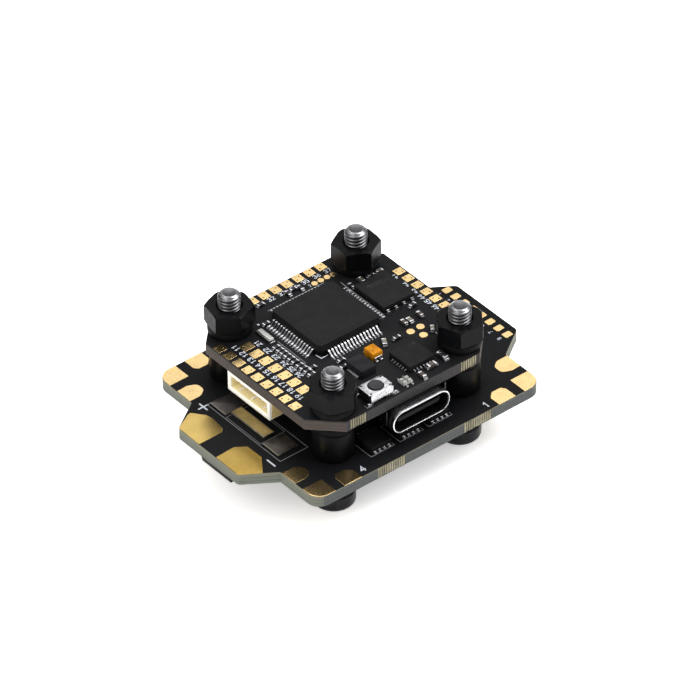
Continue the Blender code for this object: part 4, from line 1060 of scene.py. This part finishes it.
# painted shade: a thin darker sheet of the cream resin on the socket's -Y side
piece("cable_socket_side", Solid().slab(
    rectangle(SX1 - SX0 - 0.5, 0.04, 0.01, (SX0 + SX1) / 2 + 0.1, SY0 - 0.015, 2),
    [(SZ0 + 0.2, 0.0), (SZ1 - 0.15, 0.0)]),
    CREAM_PAINTED_SHADE, "cream_resin")
for y in (SYM - 2.3, SYM, SYM + 2.3):
    lie(socket, Solid().slab(rectangle(0.28, 0.16, 0.03, y, SZ0 + SOCKET_WALL + 0.07, 2),
                             [(0.5, 0.02), (0.56, 0.0), (SOCKET_DEPTH + 0.05, 0.0)]))
pins, rise = Solid(), SZM - FC_LOW
tail = Solid().bar([(0.0, rise + 0.4), (0.18, rise + 0.42), (0.3, rise + 0.6), (0.36, -0.3), (0.46, -0.12),
                    (0.62, -0.08), (1.0, -0.08)], 0.26, 0.1, 0.02)
for y in (SYM + (k - 3.5) * 0.8 for k in range(8)):
    lie(pins, Solid().slab(rectangle(0.3, 0.3, 0.05, y, SZM - 0.05, 2),
                           [(0.75, 0.1), (0.95, 0.0), (SOCKET_DEPTH + 0.2, 0.0)]))
    pins.place(tail, SX1 - 0.06, y, FC_LOW)
for side in BOTH:
    socket.slab(rectangle(1.5, 0.26, 0.05, SX0 + 2.9, SYM + side * (HALF - 0.02), 2),
                [(SZ0 + 0.5, 0.05), (SZ0 + 0.6, 0.0), (SZ1 - 0.5, 0.0), (SZ1 - 0.4, 0.05)])
    pins.slab(rectangle(1.3, 0.75, 0.08, SX0 + 2.9, SYM + side * (HALF + 0.35), 3),
              [(FC_LOW - 0.18, 0.02), (FC_LOW - 0.16, 0.0), (FC_LOW - 0.02, 0.0)])
piece("cable_socket_housing", socket, CREAM, "cream_resin", replaces=("cable_socket",), angle=50)
piece("cable_socket_pins", pins, GOLD, "gold_pad")


# ---------------------------------------------------------------- parts under the flight controller

lead, fillet = gull(0.55, 0.72, 0.4, 0.24, 0.12, 0.15), mound(rectangle(0.5, 0.28, 0.08, steps=3), 0.12, 0.1)
ox, oy = chip("overlay_chip", "overlay_package", CHIP, "chip_epoxy", 9.68, 4.38, 0.06, 0.05, 0.08, 0.5,
              [(circle(0.35, 20, -4.1, 1.4), 0.04, 0.06)], under=True)
for side in BOTH:
    for x in (ox + (k - 6.5) * 0.65 for k in range(14)):
        under_tin.place(lead, x, oy + side * 2.12, FC_LOW - PAD / 2, side * QUARTER, True)
        under_solder.place(fillet, x, oy + side * 2.95, FC_LOW, side * QUARTER, True)
vx, vy = chip("voltage_regulator", "regulator_package", FET, "chip_epoxy", 4.48, 2.48, 0.12, 0.08, 0.1, 0.5,
              [(circle(0.25, 16, -1.7, 0.7), 0.04, 0.05)], under=True)
for side, width, places in ((-1, 0.5, (-1.5, 0.0, 1.5)), (1, 2.6, (0.0,))):
    lead = gull(0.7, 0.85, 0.45, width, 0.16, 0.2)
    for x in places:
        under_tin.place(lead, vx + x, vy + side * 1.15, FC_LOW - PAD / 2, side * QUARTER, True)
x, y, _, high = middle_of("pressure_sensor")
can = Solid().slab(rectangle(1.94, 2.44, 0.2, steps=5), [
    (0.0, 0.05), (0.02, 0.05), (0.2, 0.05), (0.22, 0.0), (0.8, 0.0), (0.87, 0.02), (0.9, 0.07)], (),
    [(circle(0.2, 20, 0.45, 0.75), 0.25, 0.0)])
piece("pressure_sensor_can", Solid().place(can, x, y, high, 0.0, True), DARK_SHELL, "dark_shell",
      replaces=("pressure_sensor",))
for letters, turn, xs, ys in (
        ("B", 90, (-6.3,), (-4.6,)), ("B", 90, (3.4,), (-3.4,)), ("C", 90, (11.9,), (-2.0,)),
        ("rrc", 0, (0.6,), (-3.2, -4.2, -5.2)), ("rc", 90, (-6.2, -7.4), (-1.6,)), ("C", 0, (8.9,), (5.4,)),
        ("r", 0, (9.0,), (3.9, 3.0)), ("C", 90, (-5.2,), (6.2,)), ("rrcc", 0, (0.0, 2.0, 4.0, -3.4), (10.6,))):
    fc_grid(letters, xs, ys, FC_LOW, turn)
piece("fc_under_pads", under_pads, GOLD, "gold_pad", shift=(SQUARE_X, SQUARE_Y))


# ---------------------------------------------------------------- screws, nuts, rubber and spacers

HEAD_RADIUS, HEAD_HEIGHT, SHANK, THREAD_PITCH = 2.75, 2.0, 1.43, 0.5
BORE = 1.62                             # the rubber's and spacers' bore radius
NUT_ACROSS = 6.35
NUT_TURNS = {"front_left": 27.9, "front_right": 52.5, "rear_left": 19.0, "rear_right": 44.3}


def thread(x, y, low, high, radius, depth=0.26, columns=60, rows_per_turn=10):
    """A screw thread's outer face as a fine grid, chamfered at its end and closed by a flat point."""
    made, rings = Solid(), []
    rows = round((high - low) / (THREAD_PITCH / rows_per_turn))
    for z in (low + (high - low) * row / rows for row in range(rows + 1)):
        end = radius - max(0.0, z - (high - CHAMFER)) * 1.35
        ring = []
        for column in range(columns):
            phase = ((z - low) / THREAD_PITCH - column / columns) % 1.0
            crest = min(1.0, max(0.0, abs(2 * phase - 1) * 1.45 - 0.2))
            ring.append(spot(x, y, min(radius - depth * (1 - crest), end), 0.0, TAU * column / columns))
        rings.append(made.loop(ring, z))
    rings += [made.loop(circle(0.9, columns, x, y), high), made.loop(circle(0.82, columns, x, y), high - 0.02)]
    made.walls(rings)
    made.faces += [tuple(rings[0][::-1]), tuple(rings[-1])]
    return made


def hexagon(across_corners, steps, turn=0.0):
    """A hexagon's outline with points along each side."""
    corners = turned(circle(across_corners / 2, 6), turn)
    return [(x0 + (x1 - x0) * j / steps, y0 + (y1 - y0) * j / steps)
            for (x0, y0), (x1, y1) in zip(corners, corners[1:] + corners[:1]) for j in range(steps)]


def nut(x, y, low, high, across_corners, turn, bore=1.52):
    """A hexagon nut with its corners turned off above and below, and a chamfered bore."""
    made, outline, slope = Solid(), hexagon(across_corners, 12, turn), math.tan(math.pi / 6)
    land = across_corners / 2 * math.cos(math.pi / 6) * 1.03

    def ring(radius_from, z, fall=0.0):
        points = []
        for px, py in outline:
            own = math.hypot(px, py)
            scale = radius_from(own) / own
            points.append((x + px * scale, y + py * scale, z + fall * slope * max(0.0, own - land)))
        return made.ring(points)
    throat, mouth, face = (lambda own: bore), (lambda own: bore * 1.12), (lambda own: min(land, own * 0.975))
    shrunk, whole = (lambda own: own * 0.988), (lambda own: own)
    rings = [ring(throat, low + 0.15), ring(mouth, low), ring(face, low), ring(shrunk, low, 0.94),
             ring(whole, low + 0.045, 1.0),
             ring(whole, high - 0.045, -1.0), ring(shrunk, high, -0.94), ring(face, high), ring(mouth, high),
             ring(throat, high - 0.2)]
    made.walls(rings + rings[:1])
    return made


SCREW_HEAD = Solid().slab(circle(HEAD_RADIUS, 48), [
    (-HEAD_HEIGHT, 0.08), (-HEAD_HEIGHT + 0.08, 0.0), (-0.62, 0.0), (-0.4, 0.02), (-0.22, 0.08), (-0.09, 0.18),
    (-0.02, 0.3), (0.0, 0.42)], (), [(hexagon(2.0 / math.cos(math.pi / 6), 4), 1.2, 0.0)])
for name, (x, y) in CORNERS.items():
    nut_low, nut_high = middle_of("nut_" + name)[2:]
    tip = thread(x, y, nut_high - 0.35, middle_of("screw_" + name)[3], SHANK)
    piece("screw_tip_" + name, tip, STEEL_SHADE_AND_HIGHLIGHT, "screw_steel", replaces=("screw_" + name,), angle=60)
    shank = [(0.0, HEAD_HEIGHT), (SHANK, HEAD_HEIGHT), (SHANK, nut_high - 0.36), (0.0, nut_high - 0.36)]
    piece("screw_head_" + name, Solid().place(SCREW_HEAD, x, y, under=True).lathe(shank, 32, x, y), BLACK_OXIDE,
          "screw_steel")

    low, high = middle_of("esc_grommet_" + name)[2:]
    waist, seat = (low + ESC_LOW) / 2, ESC_LOW - SEAT
    groove = [(2.75, -0.34), (2.72, -0.26), (2.6, -0.12), (2.56, 0.0), (2.6, 0.12), (2.72, 0.26), (2.75, 0.34)]
    profile = [(BORE, low), *arc(2.55, low + 0.2, 0.2, -1, 0, 5), *((r, waist + z) for r, z in groove),
               *arc(2.57, seat - 0.18, 0.18, 0, 1, 5), (1.95, seat), (1.95, high - 0.1), (1.85, high), (BORE, high)]
    piece("esc_damper_" + name, Solid().lathe(profile, 56, x, y, closed=True), RUBBER, "rubber",
          replaces=("esc_grommet_" + name,))

    low, high = middle_of("spacer_" + name)[2:]
    profile = [(BORE, low), *arc(2.44, low + 0.16, 0.16, -1, 0, 4), *arc(2.44, high - 0.16, 0.16, 0, 1, 4),
               (BORE, high)]
    piece("standoff_" + name, Solid().lathe(profile, 56, x, y, closed=True), NYLON, "nylon",
          replaces=("spacer_" + name,))

    low, high = middle_of("fc_grommet_" + name)[2:]
    profile = [(BORE, low), *arc(2.43, low + 0.22, 0.22, -1, 0, 5), *arc(2.51, FC_LOW - SEAT - 0.14, 0.14, 0, 1, 5),
               (1.95, FC_LOW - SEAT), (1.95, FC_HIGH + SEAT), *arc(2.66, FC_HIGH + SEAT + 0.14, 0.14, -1, 0, 5),
               *arc(2.5, high - 0.3, 0.3, 0, 1, 7), (BORE, high)]
    piece("fc_damper_" + name, Solid().lathe(profile, 56, x, y, closed=True), RUBBER, "rubber",
          replaces=("fc_grommet_" + name,))
    piece("locking_nut_" + name, nut(x, y, nut_low, nut_high, NUT_ACROSS, math.radians(NUT_TURNS[name])), NYLON,
          "nylon",
          replaces=("nut_" + name,), angle=25)


# ---------------------------------------------------------------- speed controller: pads and ink

# Three motor pads at each corner and the two battery pads. On top they run out to the board's edge; underneath they
# stop short of it.
for under in (False, True):
    z, height = (ESC_LOW + MASK, -PAD - MASK) if under else (ESC_HIGH - MASK, PAD + MASK)
    back = 0.34 if under else 0.0
    ex, ey = 17.84 - back, 15.69 - back
    shapes = (
        rounded([(14.95, 12.95, 0.1), (ex, 12.95, 0.03), (ex, ey, 1.84 - back), (14.95, ey, 0.03)], 8),
        rounded([(ex, 9.0, 0.03), (ex, 11.55, 0.03), (16.3, 11.6, 0.9), (15.1, 11.05, 0.8), (15.1, 9.75, 0.8),
                 (16.1, 9.0, 0.9)], 5),
        rounded([(10.85, ey, 0.03), (10.85, 14.1, 0.3), (11.65, 13.3, 0.35), (13.05, 13.3, 0.35), (13.52, 13.9, 0.3),
                 (13.52, ey, 0.03)], 4))
    for sx in BOTH:
        for sy in BOTH:
            for shape in shapes:
                flat(esc_pads, [(sx * x, sy * y) for x, y in shape], z, height, 0.016)
    end, plus_y, minus_y, slope_y = (-21.8, 5.5, -5.5, -7.3) if under else (-22.14, 5.75, -5.78, -7.48)
    for points in ([(end, 1.75), (-18.55, 1.78), (-18.05, 2.3), (-17.75, 4.7), (-18.0, 5.6), (-19.25, 7.2),
                    (-19.75, 7.1), (end, plus_y)],
                   [(end, -1.5), (end, minus_y), (-19.6, slope_y), (-17.88, -5.07), (-17.9, -2.4), (-19.2, -1.4)]):
        flat(battery_gold, softened(points, 0.12, 4), z, height, 0.02)

SIGNAL_Y = [5.83 - 1.66 * k for k in range(8)]
for index, y in enumerate(SIGNAL_Y):
    flat(esc_pads, rectangle(1.22, 0.94, 0.16, 20.58, y), ESC_HIGH, PAD, 0.014)
    write(esc_ink, str(index + 1), 19.28, y, ESC_HIGH, 0.5, QUARTER, 0.1)
for under, size, weight, turn, signs in (
        (False, 2.1, 0.075, 0.0, (("+", -17.38, 7.1),)), (False, 2.1, 0.075, QUARTER, (("-", -17.68, -6.76),)),
        (False, 0.95, 0.12, 0.0, (("1", 9.6, -14.7), ("4", -9.9, -14.55), ("2", 9.6, 14.5), ("3", -9.75, 14.5))),
        (True, 1.15, 0.15, 0.0, (("1", 9.6, -14.4), ("4", -9.75, -14.4), ("2", 9.6, 14.4), ("3", -9.75, 14.4))),
        (True, 1.4, 0.14, 0.0, (("+", -16.6, 7.0),)), (True, 1.4, 0.16, 0.0, (("-", -16.6, -6.9),))):
    for sign, x, y in signs:
        write(esc_ink, sign, x, y, ESC_LOW if under else ESC_HIGH, size, turn, weight, under)
frame_line(esc_outlines, -16.68, -7.15, -12.3, 7.15, 0.07, ESC_HIGH)
frame_line(esc_outlines, -16.4, -3.0, -12.6, 3.75, 0.05, ESC_HIGH)
for x in (-7.65, -3.1, 1.45):
    for y in (-13.55, 9.7):
        frame_line(esc_outlines, x, y, x + 3.75, y + 3.85, 0.07, ESC_HIGH)
for x in (-6.6, -1.6, 3.4):
    for y in (-13.9, 6.4):
        frame_line(esc_ink, x, y, x + 4.2, y + 7.5, 0.1, ESC_LOW, -INK_HEIGHT)


# ---------------------------------------------------------------- speed controller: parts on top

fet = package(3.16, 3.16, 0.9, 0.03, 0.05, 0.06, 0.3, [(circle(0.18, 16, -1.2, -1.15), 0.03, 0.04)])
for name in ("%02d" % index for index in range(1, 13)):
    x, y, low, _ = middle_of("mosfet_" + name)
    piece("power_switch_" + name, Solid().place(fet, x, y, low, 0.0 if y < 0 else math.pi), FET, "fet_epoxy",
          replaces=("mosfet_" + name,))
    flat_leads(esc_tin, esc_solder, x, y, ESC_HIGH, 1.58, 4, 0.72, 0.42, (1, 3), 0.05, 0.24, 0.3, 0.34)
for name in "1234":
    x, y = chip("motor_processor_" + name, "motor_chip_" + name, CHIP, "chip_epoxy", 2.96, 2.96, 0.01, 0.04, 0.04, 0.35,
                [(circle(0.16, 16, -1.1, 1.1), 0.03, 0.04)])
    flat_leads(esc_tin, esc_solder, x, y, ESC_HIGH, 1.48, 5, 0.5, 0.24, range(4), 0.02, 0.18, 0.3, 0.26)

# Shunt: a flat alloy bar between two plated plates, each with a rim round its top face. The rim is darker than the
# bar's face, and paler than the plates' faces as a painted highlight along their edges.
for name, new_name, face, rim_width, slot in (
        ("shunt_bar", "shunt_strap", SHUNT_ALLOY, 0.13, "shunt_alloy"),
        ("shunt_terminal_plus", "shunt_plate_plus", SHUNT_PLATE, 0.09, "shunt_plate"),
        ("shunt_terminal_minus", "shunt_plate_minus", SHUNT_PLATE, 0.09, "shunt_plate")):
    (x0, y0, z0), (x1, y1, z1) = node_box(name)
    outline = rectangle(x1 - x0 - 0.02, y1 - y0 - 0.02, 0.08, (x0 + x1) / 2, (y0 + y1) / 2)
    piece(new_name, Solid().slab(outline, [(z0, 0.02), (z0 + 0.02, 0.0), (z1 - 0.05, 0.0), (z1 - 0.03, 0.02),
                                           (z1 - 0.02, 0.05)]),
          SHUNT_EDGE, slot, replaces=(name,))
    piece(new_name + "_face", Solid().slab(inset(outline, rim_width), [(z1 - 0.05, 0.0), (z1 - 0.01, 0.0), (z1, 0.03)]),
          face, slot)

esc_spots = []
for letters, turn, xs, ys in (
        ("c", 0, [-6.9 + 1.9 * k for k in range(6)], (5.2,)), ("B", 90, (-8.5,), (-2.2, 0.8, 3.8)),
        ("CCRCC", 90, (10.6,), (-4.9, -2.4, 0.0, 2.4, 4.9)), ("rrcrcrrcrcrr", 90, (14.6, 15.8, 17.0),
                                                              (-4.0, -1.5, 1.2, 3.8)),
        ("rrcrrc" * 2, 90, (-3.4, -2.4, -1.4, 1.0, 2.0, 3.0), (-2.9, 2.9)), ("crrc", 0, (-3.4, -1.6, 0.4, 2.4), (0.0,)),
        ("C", 90, (6.6,), (10.3, 12.6)), ("rcr", 0, (-5.0, -0.4, 3.6), (14.35,)),
        ("rcr", 0, (-4.9, -0.2, 4.2), (-5.1,))):
    esc_spots += grid(letters, xs, ys, ESC_HIGH, turn)


# ---------------------------------------------------------------- speed controller: underside

(x0, y0, _), (x1, y1, _) = node_box("surge_diode")
length = y1 - y0 - 0.5
x, y = chip("surge_diode", "surge_diode_package", FET, "fet_epoxy", x1 - x0 - 0.02, length, 0.1, 0.06, 0.12, 0.5,
            [(rectangle(3.6, 0.5, 0.05, 0.0, 2.0, 2), 0.03, 0.03)], under=True)
strap = Solid().bar([(-0.5, 0.45), (0.1, 0.45), (0.17, 0.4), (0.2, 0.14), (0.16, 0.07), (-0.3, 0.06)], 2.6, 0.1, 0.02)
for side in BOTH:
    esc_tin.place(strap, x, y + side * length / 2, ESC_LOW - 0.005, side * QUARTER, True)
for y in (-12.6, -10.2, -7.8, 7.8, 10.2, 12.6):
    for k in range(7):
        passive("tan" if (k + int(y)) % 3 else "dark", -5.4 + 1.8 * k, y, ESC_LOW, 90, R0603 if abs(y) < 12 else C0402,
                True)
for x in (-14.2, 13.4, 15.6):
    for k in range(5):
        passive("tan", x, -5.0 + 2.5 * k, ESC_LOW, 90, (1.6, 0.8, 0.75), True)
for x in (-9.0, -6.4, -3.8, 3.8, 6.4, 9.0):
    for y in (-4.2, -1.4, 1.4, 4.2):
        grid("r" if x * y > 0 else "c", (x,), (y,), ESC_LOW, 0, True)


# ---------------------------------------------------------------- vias and traces

def keep_out(name, grow, dx=0.0, dy=0.0):
    """The (x0, x1, y0, y1) box that a part and its solder take up."""
    low, high = node_box(name)
    return low[0] - grow - dx, high[0] + grow - dx, low[1] - grow - dy, high[1] + grow - dy


def scatter(solid, count, x0, x1, y0, y1, z, taken, outline):
    """Plated holes' rings in free places within an outline, never over a part, a screw or each other."""
    placed = []
    for _ in range(count * 40):
        if len(placed) == count:
            return
        x, y = (round(random.uniform(*limits) / 0.25) * 0.25 for limits in ((x0, x1), (y0, y1)))
        if (any(a - 0.15 <= x <= b + 0.15 and c - 0.15 <= y <= d + 0.15 for a, b, c, d in taken)
                or any(abs(x - a) < 0.6 and abs(y - b) < 0.6 for a, b in placed)
                or math.hypot(abs(x) - PITCH, abs(y) - PITCH) < 3.6 or not inside(x, y, outline)):
            continue
        placed.append((x, y))
        flat(solid, circle(0.2, 14, x, y), z, 0.02, 0.006, [circle(0.09, 14, x, y)])


random.seed(7)
taken = [keep_out(name, grow, SQUARE_X, SQUARE_Y) for name, grow in (
    ("processor", 1.4), ("flash_memory", 0.4), ("motion_sensor", 0.4), ("power_inductor", 0.4),
    ("tantalum_capacitor", 0.7), ("boot_button_cover", 0.6), ("status_led", 0.7))]
taken += [(-14.2, -8.7, -8.0, 8.6), (11.7, 14.2, -6.0, 6.5), (-5.4, 7.2, 9.9, 13.3), (-9.1, -6.6, -4.2, 9.5),
          (6.0, 9.0, -6.9, -3.9), (5.8, 7.2, -12.3, -7.8), (1.8, 5.0, -12.7, -11.0), (-14.2, 14.2, -13.3, -12.6)]
scatter(fc_vias, 46, -9.4, 13.4, -12.4, 12.0, FC_HIGH, taken,
        [(x - SQUARE_X, y - SQUARE_Y) for x, y in inset(rounded(FC_CORNERS), 0.5)])
taken = [keep_out("mosfet_%02d" % k, 0.5) for k in range(1, 13)]
taken += [keep_out("motor_processor_%d" % k, 0.5) for k in range(1, 5)]
taken += [(-22.3, -12.2, -8.0, 8.2), (19.0, 22.3, -7.2, 7.2)]
taken += [(x, x + 7.1, y, y + 7.2) for x in (-18.0, 10.9) for y in (-15.8, 8.6)]
taken += [(x - 0.9, x + 0.9, y - 1.1, y + 1.1) for x, y in esc_spots]
scatter(esc_vias, 90, -12.0, 18.8, -15.2, 15.2, ESC_HIGH, taken, inset(rounded(ESC_CORNERS), 0.5))

fc_lines = [[(-12.6, y), (-11.45, y)] for y in INNER_Y]
fc_lines += [[(x, 11.78), (x, 11.75), (x - 0.35, 11.0), (x - 0.35, 9.85)] for x in BACK_X]
fc_lines += [[(12.5, y), (11.75, y - 0.3), (11.6, y - 0.8)] for y in RIGHT_Y[:5]]
fc_lines += [[(5.4, -7.3 - 0.35 * k), (6.2, -7.1 - 0.35 * k), (7.9, -7.1 - 0.45 * k)] for k in range(5)]
fc_lines += [[(-6.6 - 0.3 * k, -7.6), (-6.6 - 0.3 * k, -4.6 - 0.2 * k)] for k in range(4)]
esc_lines = [[(x, -6.6), (x, 0.2 * k - 2.0), (x + 0.5, 0.2 * k - 1.5), (x + 0.5, 6.4 - 0.2 * k)]
             for k, x in enumerate(11.4 + 0.34 * k for k in range(7))]
esc_lines += [[(-9.6 + 0.4 * k, -5.4), (-9.6 + 0.4 * k, 5.4 - 0.3 * k)] for k in range(5)]
signal_lines = [[(19.0, y), (18.2, y), (17.7, 3.6 - 0.45 * k)] for k, y in enumerate(SIGNAL_Y[:6])]
for solid, z, width, lines in ((fc_traces, FC_HIGH, 0.16, fc_lines), (esc_traces, ESC_HIGH, 0.15, esc_lines),
                               (esc_traces, ESC_HIGH, 0.14, signal_lines)):
    for points in lines:
        flat(solid, ribbon(points, width), z, 0.015, 0.006)

FRAME, SQUARE = (0.0, 0.0), (SQUARE_X, SQUARE_Y)         # what each solid below is drawn round
for name, solid, material, slot, shift in (
        ("fc_gold_pads", fc_pads, GOLD, "gold_pad", SQUARE),
        ("esc_gold_pads", esc_pads, GOLD, "gold_pad", FRAME),
        ("battery_gold_pads", battery_gold, DULL_GOLD_PAINTED_SHADE, "gold_pad", FRAME),
        ("fc_ink", fc_ink, INK, "silkscreen", SQUARE),
        ("esc_ink", esc_ink, INK, "silkscreen", FRAME),
        ("esc_outlines", esc_outlines, FAINT_INK, "silkscreen", FRAME),
        ("fc_fine_ink", fc_fine_ink, FAINT_INK, "silkscreen", SQUARE),
        ("fc_vias", fc_vias, MASK_FC, "fc_laminate", SQUARE),
        ("esc_vias", esc_vias, MASK_ESC, "esc_laminate", FRAME),
        ("fc_traces", fc_traces, MASK_FC, "fc_laminate", SQUARE),
        ("esc_traces", esc_traces, MASK_ESC, "esc_laminate", FRAME),
        ("fc_solder", fc_solder, SOLDER, "solder", FRAME),
        ("esc_terminals", esc_tin, TIN, "solder", FRAME),
        ("esc_solder", esc_solder, SOLDER, "solder", FRAME),
        ("under_terminals", under_tin, TIN, "solder", FRAME),
        ("under_solder", under_solder, SOLDER, "solder", FRAME),
        ("chip_part_ends", ends, TIN, "solder", FRAME),
        ("chip_part_solder", end_solder, SOLDER, "solder", FRAME),
        ("capacitor_bodies", BODIES["tan"], TAN_CERAMIC, "ceramic_chip", FRAME),
        ("resistor_bodies", BODIES["dark"], DARK_CERAMIC, "ceramic_chip", FRAME),
        ("pale_bodies", BODIES["pale"], PALE_CERAMIC, "ceramic_chip", FRAME)):
    piece(name, solid, material, slot, shift=shift)


# ---------------------------------------------------------------- floor, light and camera

def link(name, data):
    """A new object in the scene."""
    item = bpy.data.objects.new(name, data)
    bpy.context.scene.collection.objects.link(item)
    return item


def outward(azimuth, elevation):
    """The direction out to a place. Azimuth 0 is in front, at -Y, and 90 at +X; both angles are in radians."""
    level = math.cos(elevation)
    return Vector((math.sin(azimuth) * level, -math.cos(azimuth) * level, math.sin(elevation)))


n = Nodes("floor_paper")
paper = n.finish(n.ramp(n.noise(3.0, 2.0), [(0.3, tint((0.93, 0.93, 0.93), 0.995)), (0.7, (0.93, 0.93, 0.93))]), 0.9,
                 0.0, 0.2)
n.put(n.shader.inputs["Emission Color"], (1.0, 1.0, 1.0))
n.put(n.shader.inputs["Emission Strength"], 0.42)
floor_mesh = bpy.data.meshes.new("floor")
floor_mesh.from_pydata([(-3, -3, 0), (3, -3, 0), (3, 3, 0), (-3, 3, 0)], [], [(0, 1, 2, 3)])
floor_mesh.materials.append(paper)
link("floor", floor_mesh)

world = bpy.data.worlds.new("studio")
bpy.context.scene.world = world
world.use_nodes = True
nodes, wire = world.node_tree.nodes, world.node_tree.links.new
direction, split, sky = (nodes.new(kind) for kind in ("ShaderNodeTexCoord", "ShaderNodeSeparateXYZ",
                                                      "ShaderNodeValToRGB"))
for element, position, colour in zip(sky.color_ramp.elements, (0.05, 0.85),
                                     ((0.38, 0.38, 0.385, 1.0), (0.88, 0.88, 0.88, 1.0))):
    element.position, element.color = position, colour
wire(direction.outputs["Generated"], split.inputs[0])
wire(split.outputs[2], sky.inputs[0])
wire(sky.outputs[0], nodes["Background"].inputs["Color"])

AIM = Vector((0.0, 0.0, 0.01))          # metres, as are the lights' distances and sizes
for name, azimuth, elevation, distance, size, energy in (
        ("key_light", 60.0, 58.0, 0.7, 0.5, 5.0), ("fill_light", -95.0, 42.0, 0.8, 0.6, 2.6),
        ("back_light", 165.0, 68.0, 1.0, 0.9, 6.0)):
    soft_box = bpy.data.lights.new(name, "AREA")
    soft_box.shape, soft_box.size, soft_box.energy = "SQUARE", size, energy
    away = outward(math.radians(azimuth), math.radians(elevation))
    light = link(name, soft_box)
    light.location = away * distance + AIM
    light.rotation_euler = away.to_track_quat("Z", "Y").to_euler()

CAMERA_AZIMUTH, CAMERA_ELEVATION, CAMERA_ROLL = (math.radians(angle) for angle in (-38.987, 38.469, -0.478))
# In millimetres along the camera's own axes, from the screw square's middle at the level of the lower board's top.
CAMERA_RIGHT, CAMERA_UP, CAMERA_BACK = 0.613, 3.497, 825.1
backward = outward(CAMERA_AZIMUTH, CAMERA_ELEVATION)
level_right = Vector((math.cos(CAMERA_AZIMUTH), math.sin(CAMERA_AZIMUTH), 0.0))
level_up = backward.cross(level_right)
right = level_right * math.cos(CAMERA_ROLL) + level_up * math.sin(CAMERA_ROLL)
up = level_up * math.cos(CAMERA_ROLL) - level_right * math.sin(CAMERA_ROLL)
lens = bpy.data.cameras.new("camera")
lens.sensor_width, lens.lens, lens.clip_start, lens.clip_end = 36.0, 344.8, 0.01, 20.0
camera = link("camera", lens)
pose = Matrix((right, up, backward)).transposed().to_4x4()
aside = right * CAMERA_RIGHT + up * CAMERA_UP + backward * CAMERA_BACK
pose.translation = (Vector((SQUARE_X, SQUARE_Y, ESC_HIGH)) + aside) * MM
camera.matrix_world = pose
bpy.context.scene.camera = camera
bpy.context.scene.view_settings.view_transform = "Standard"
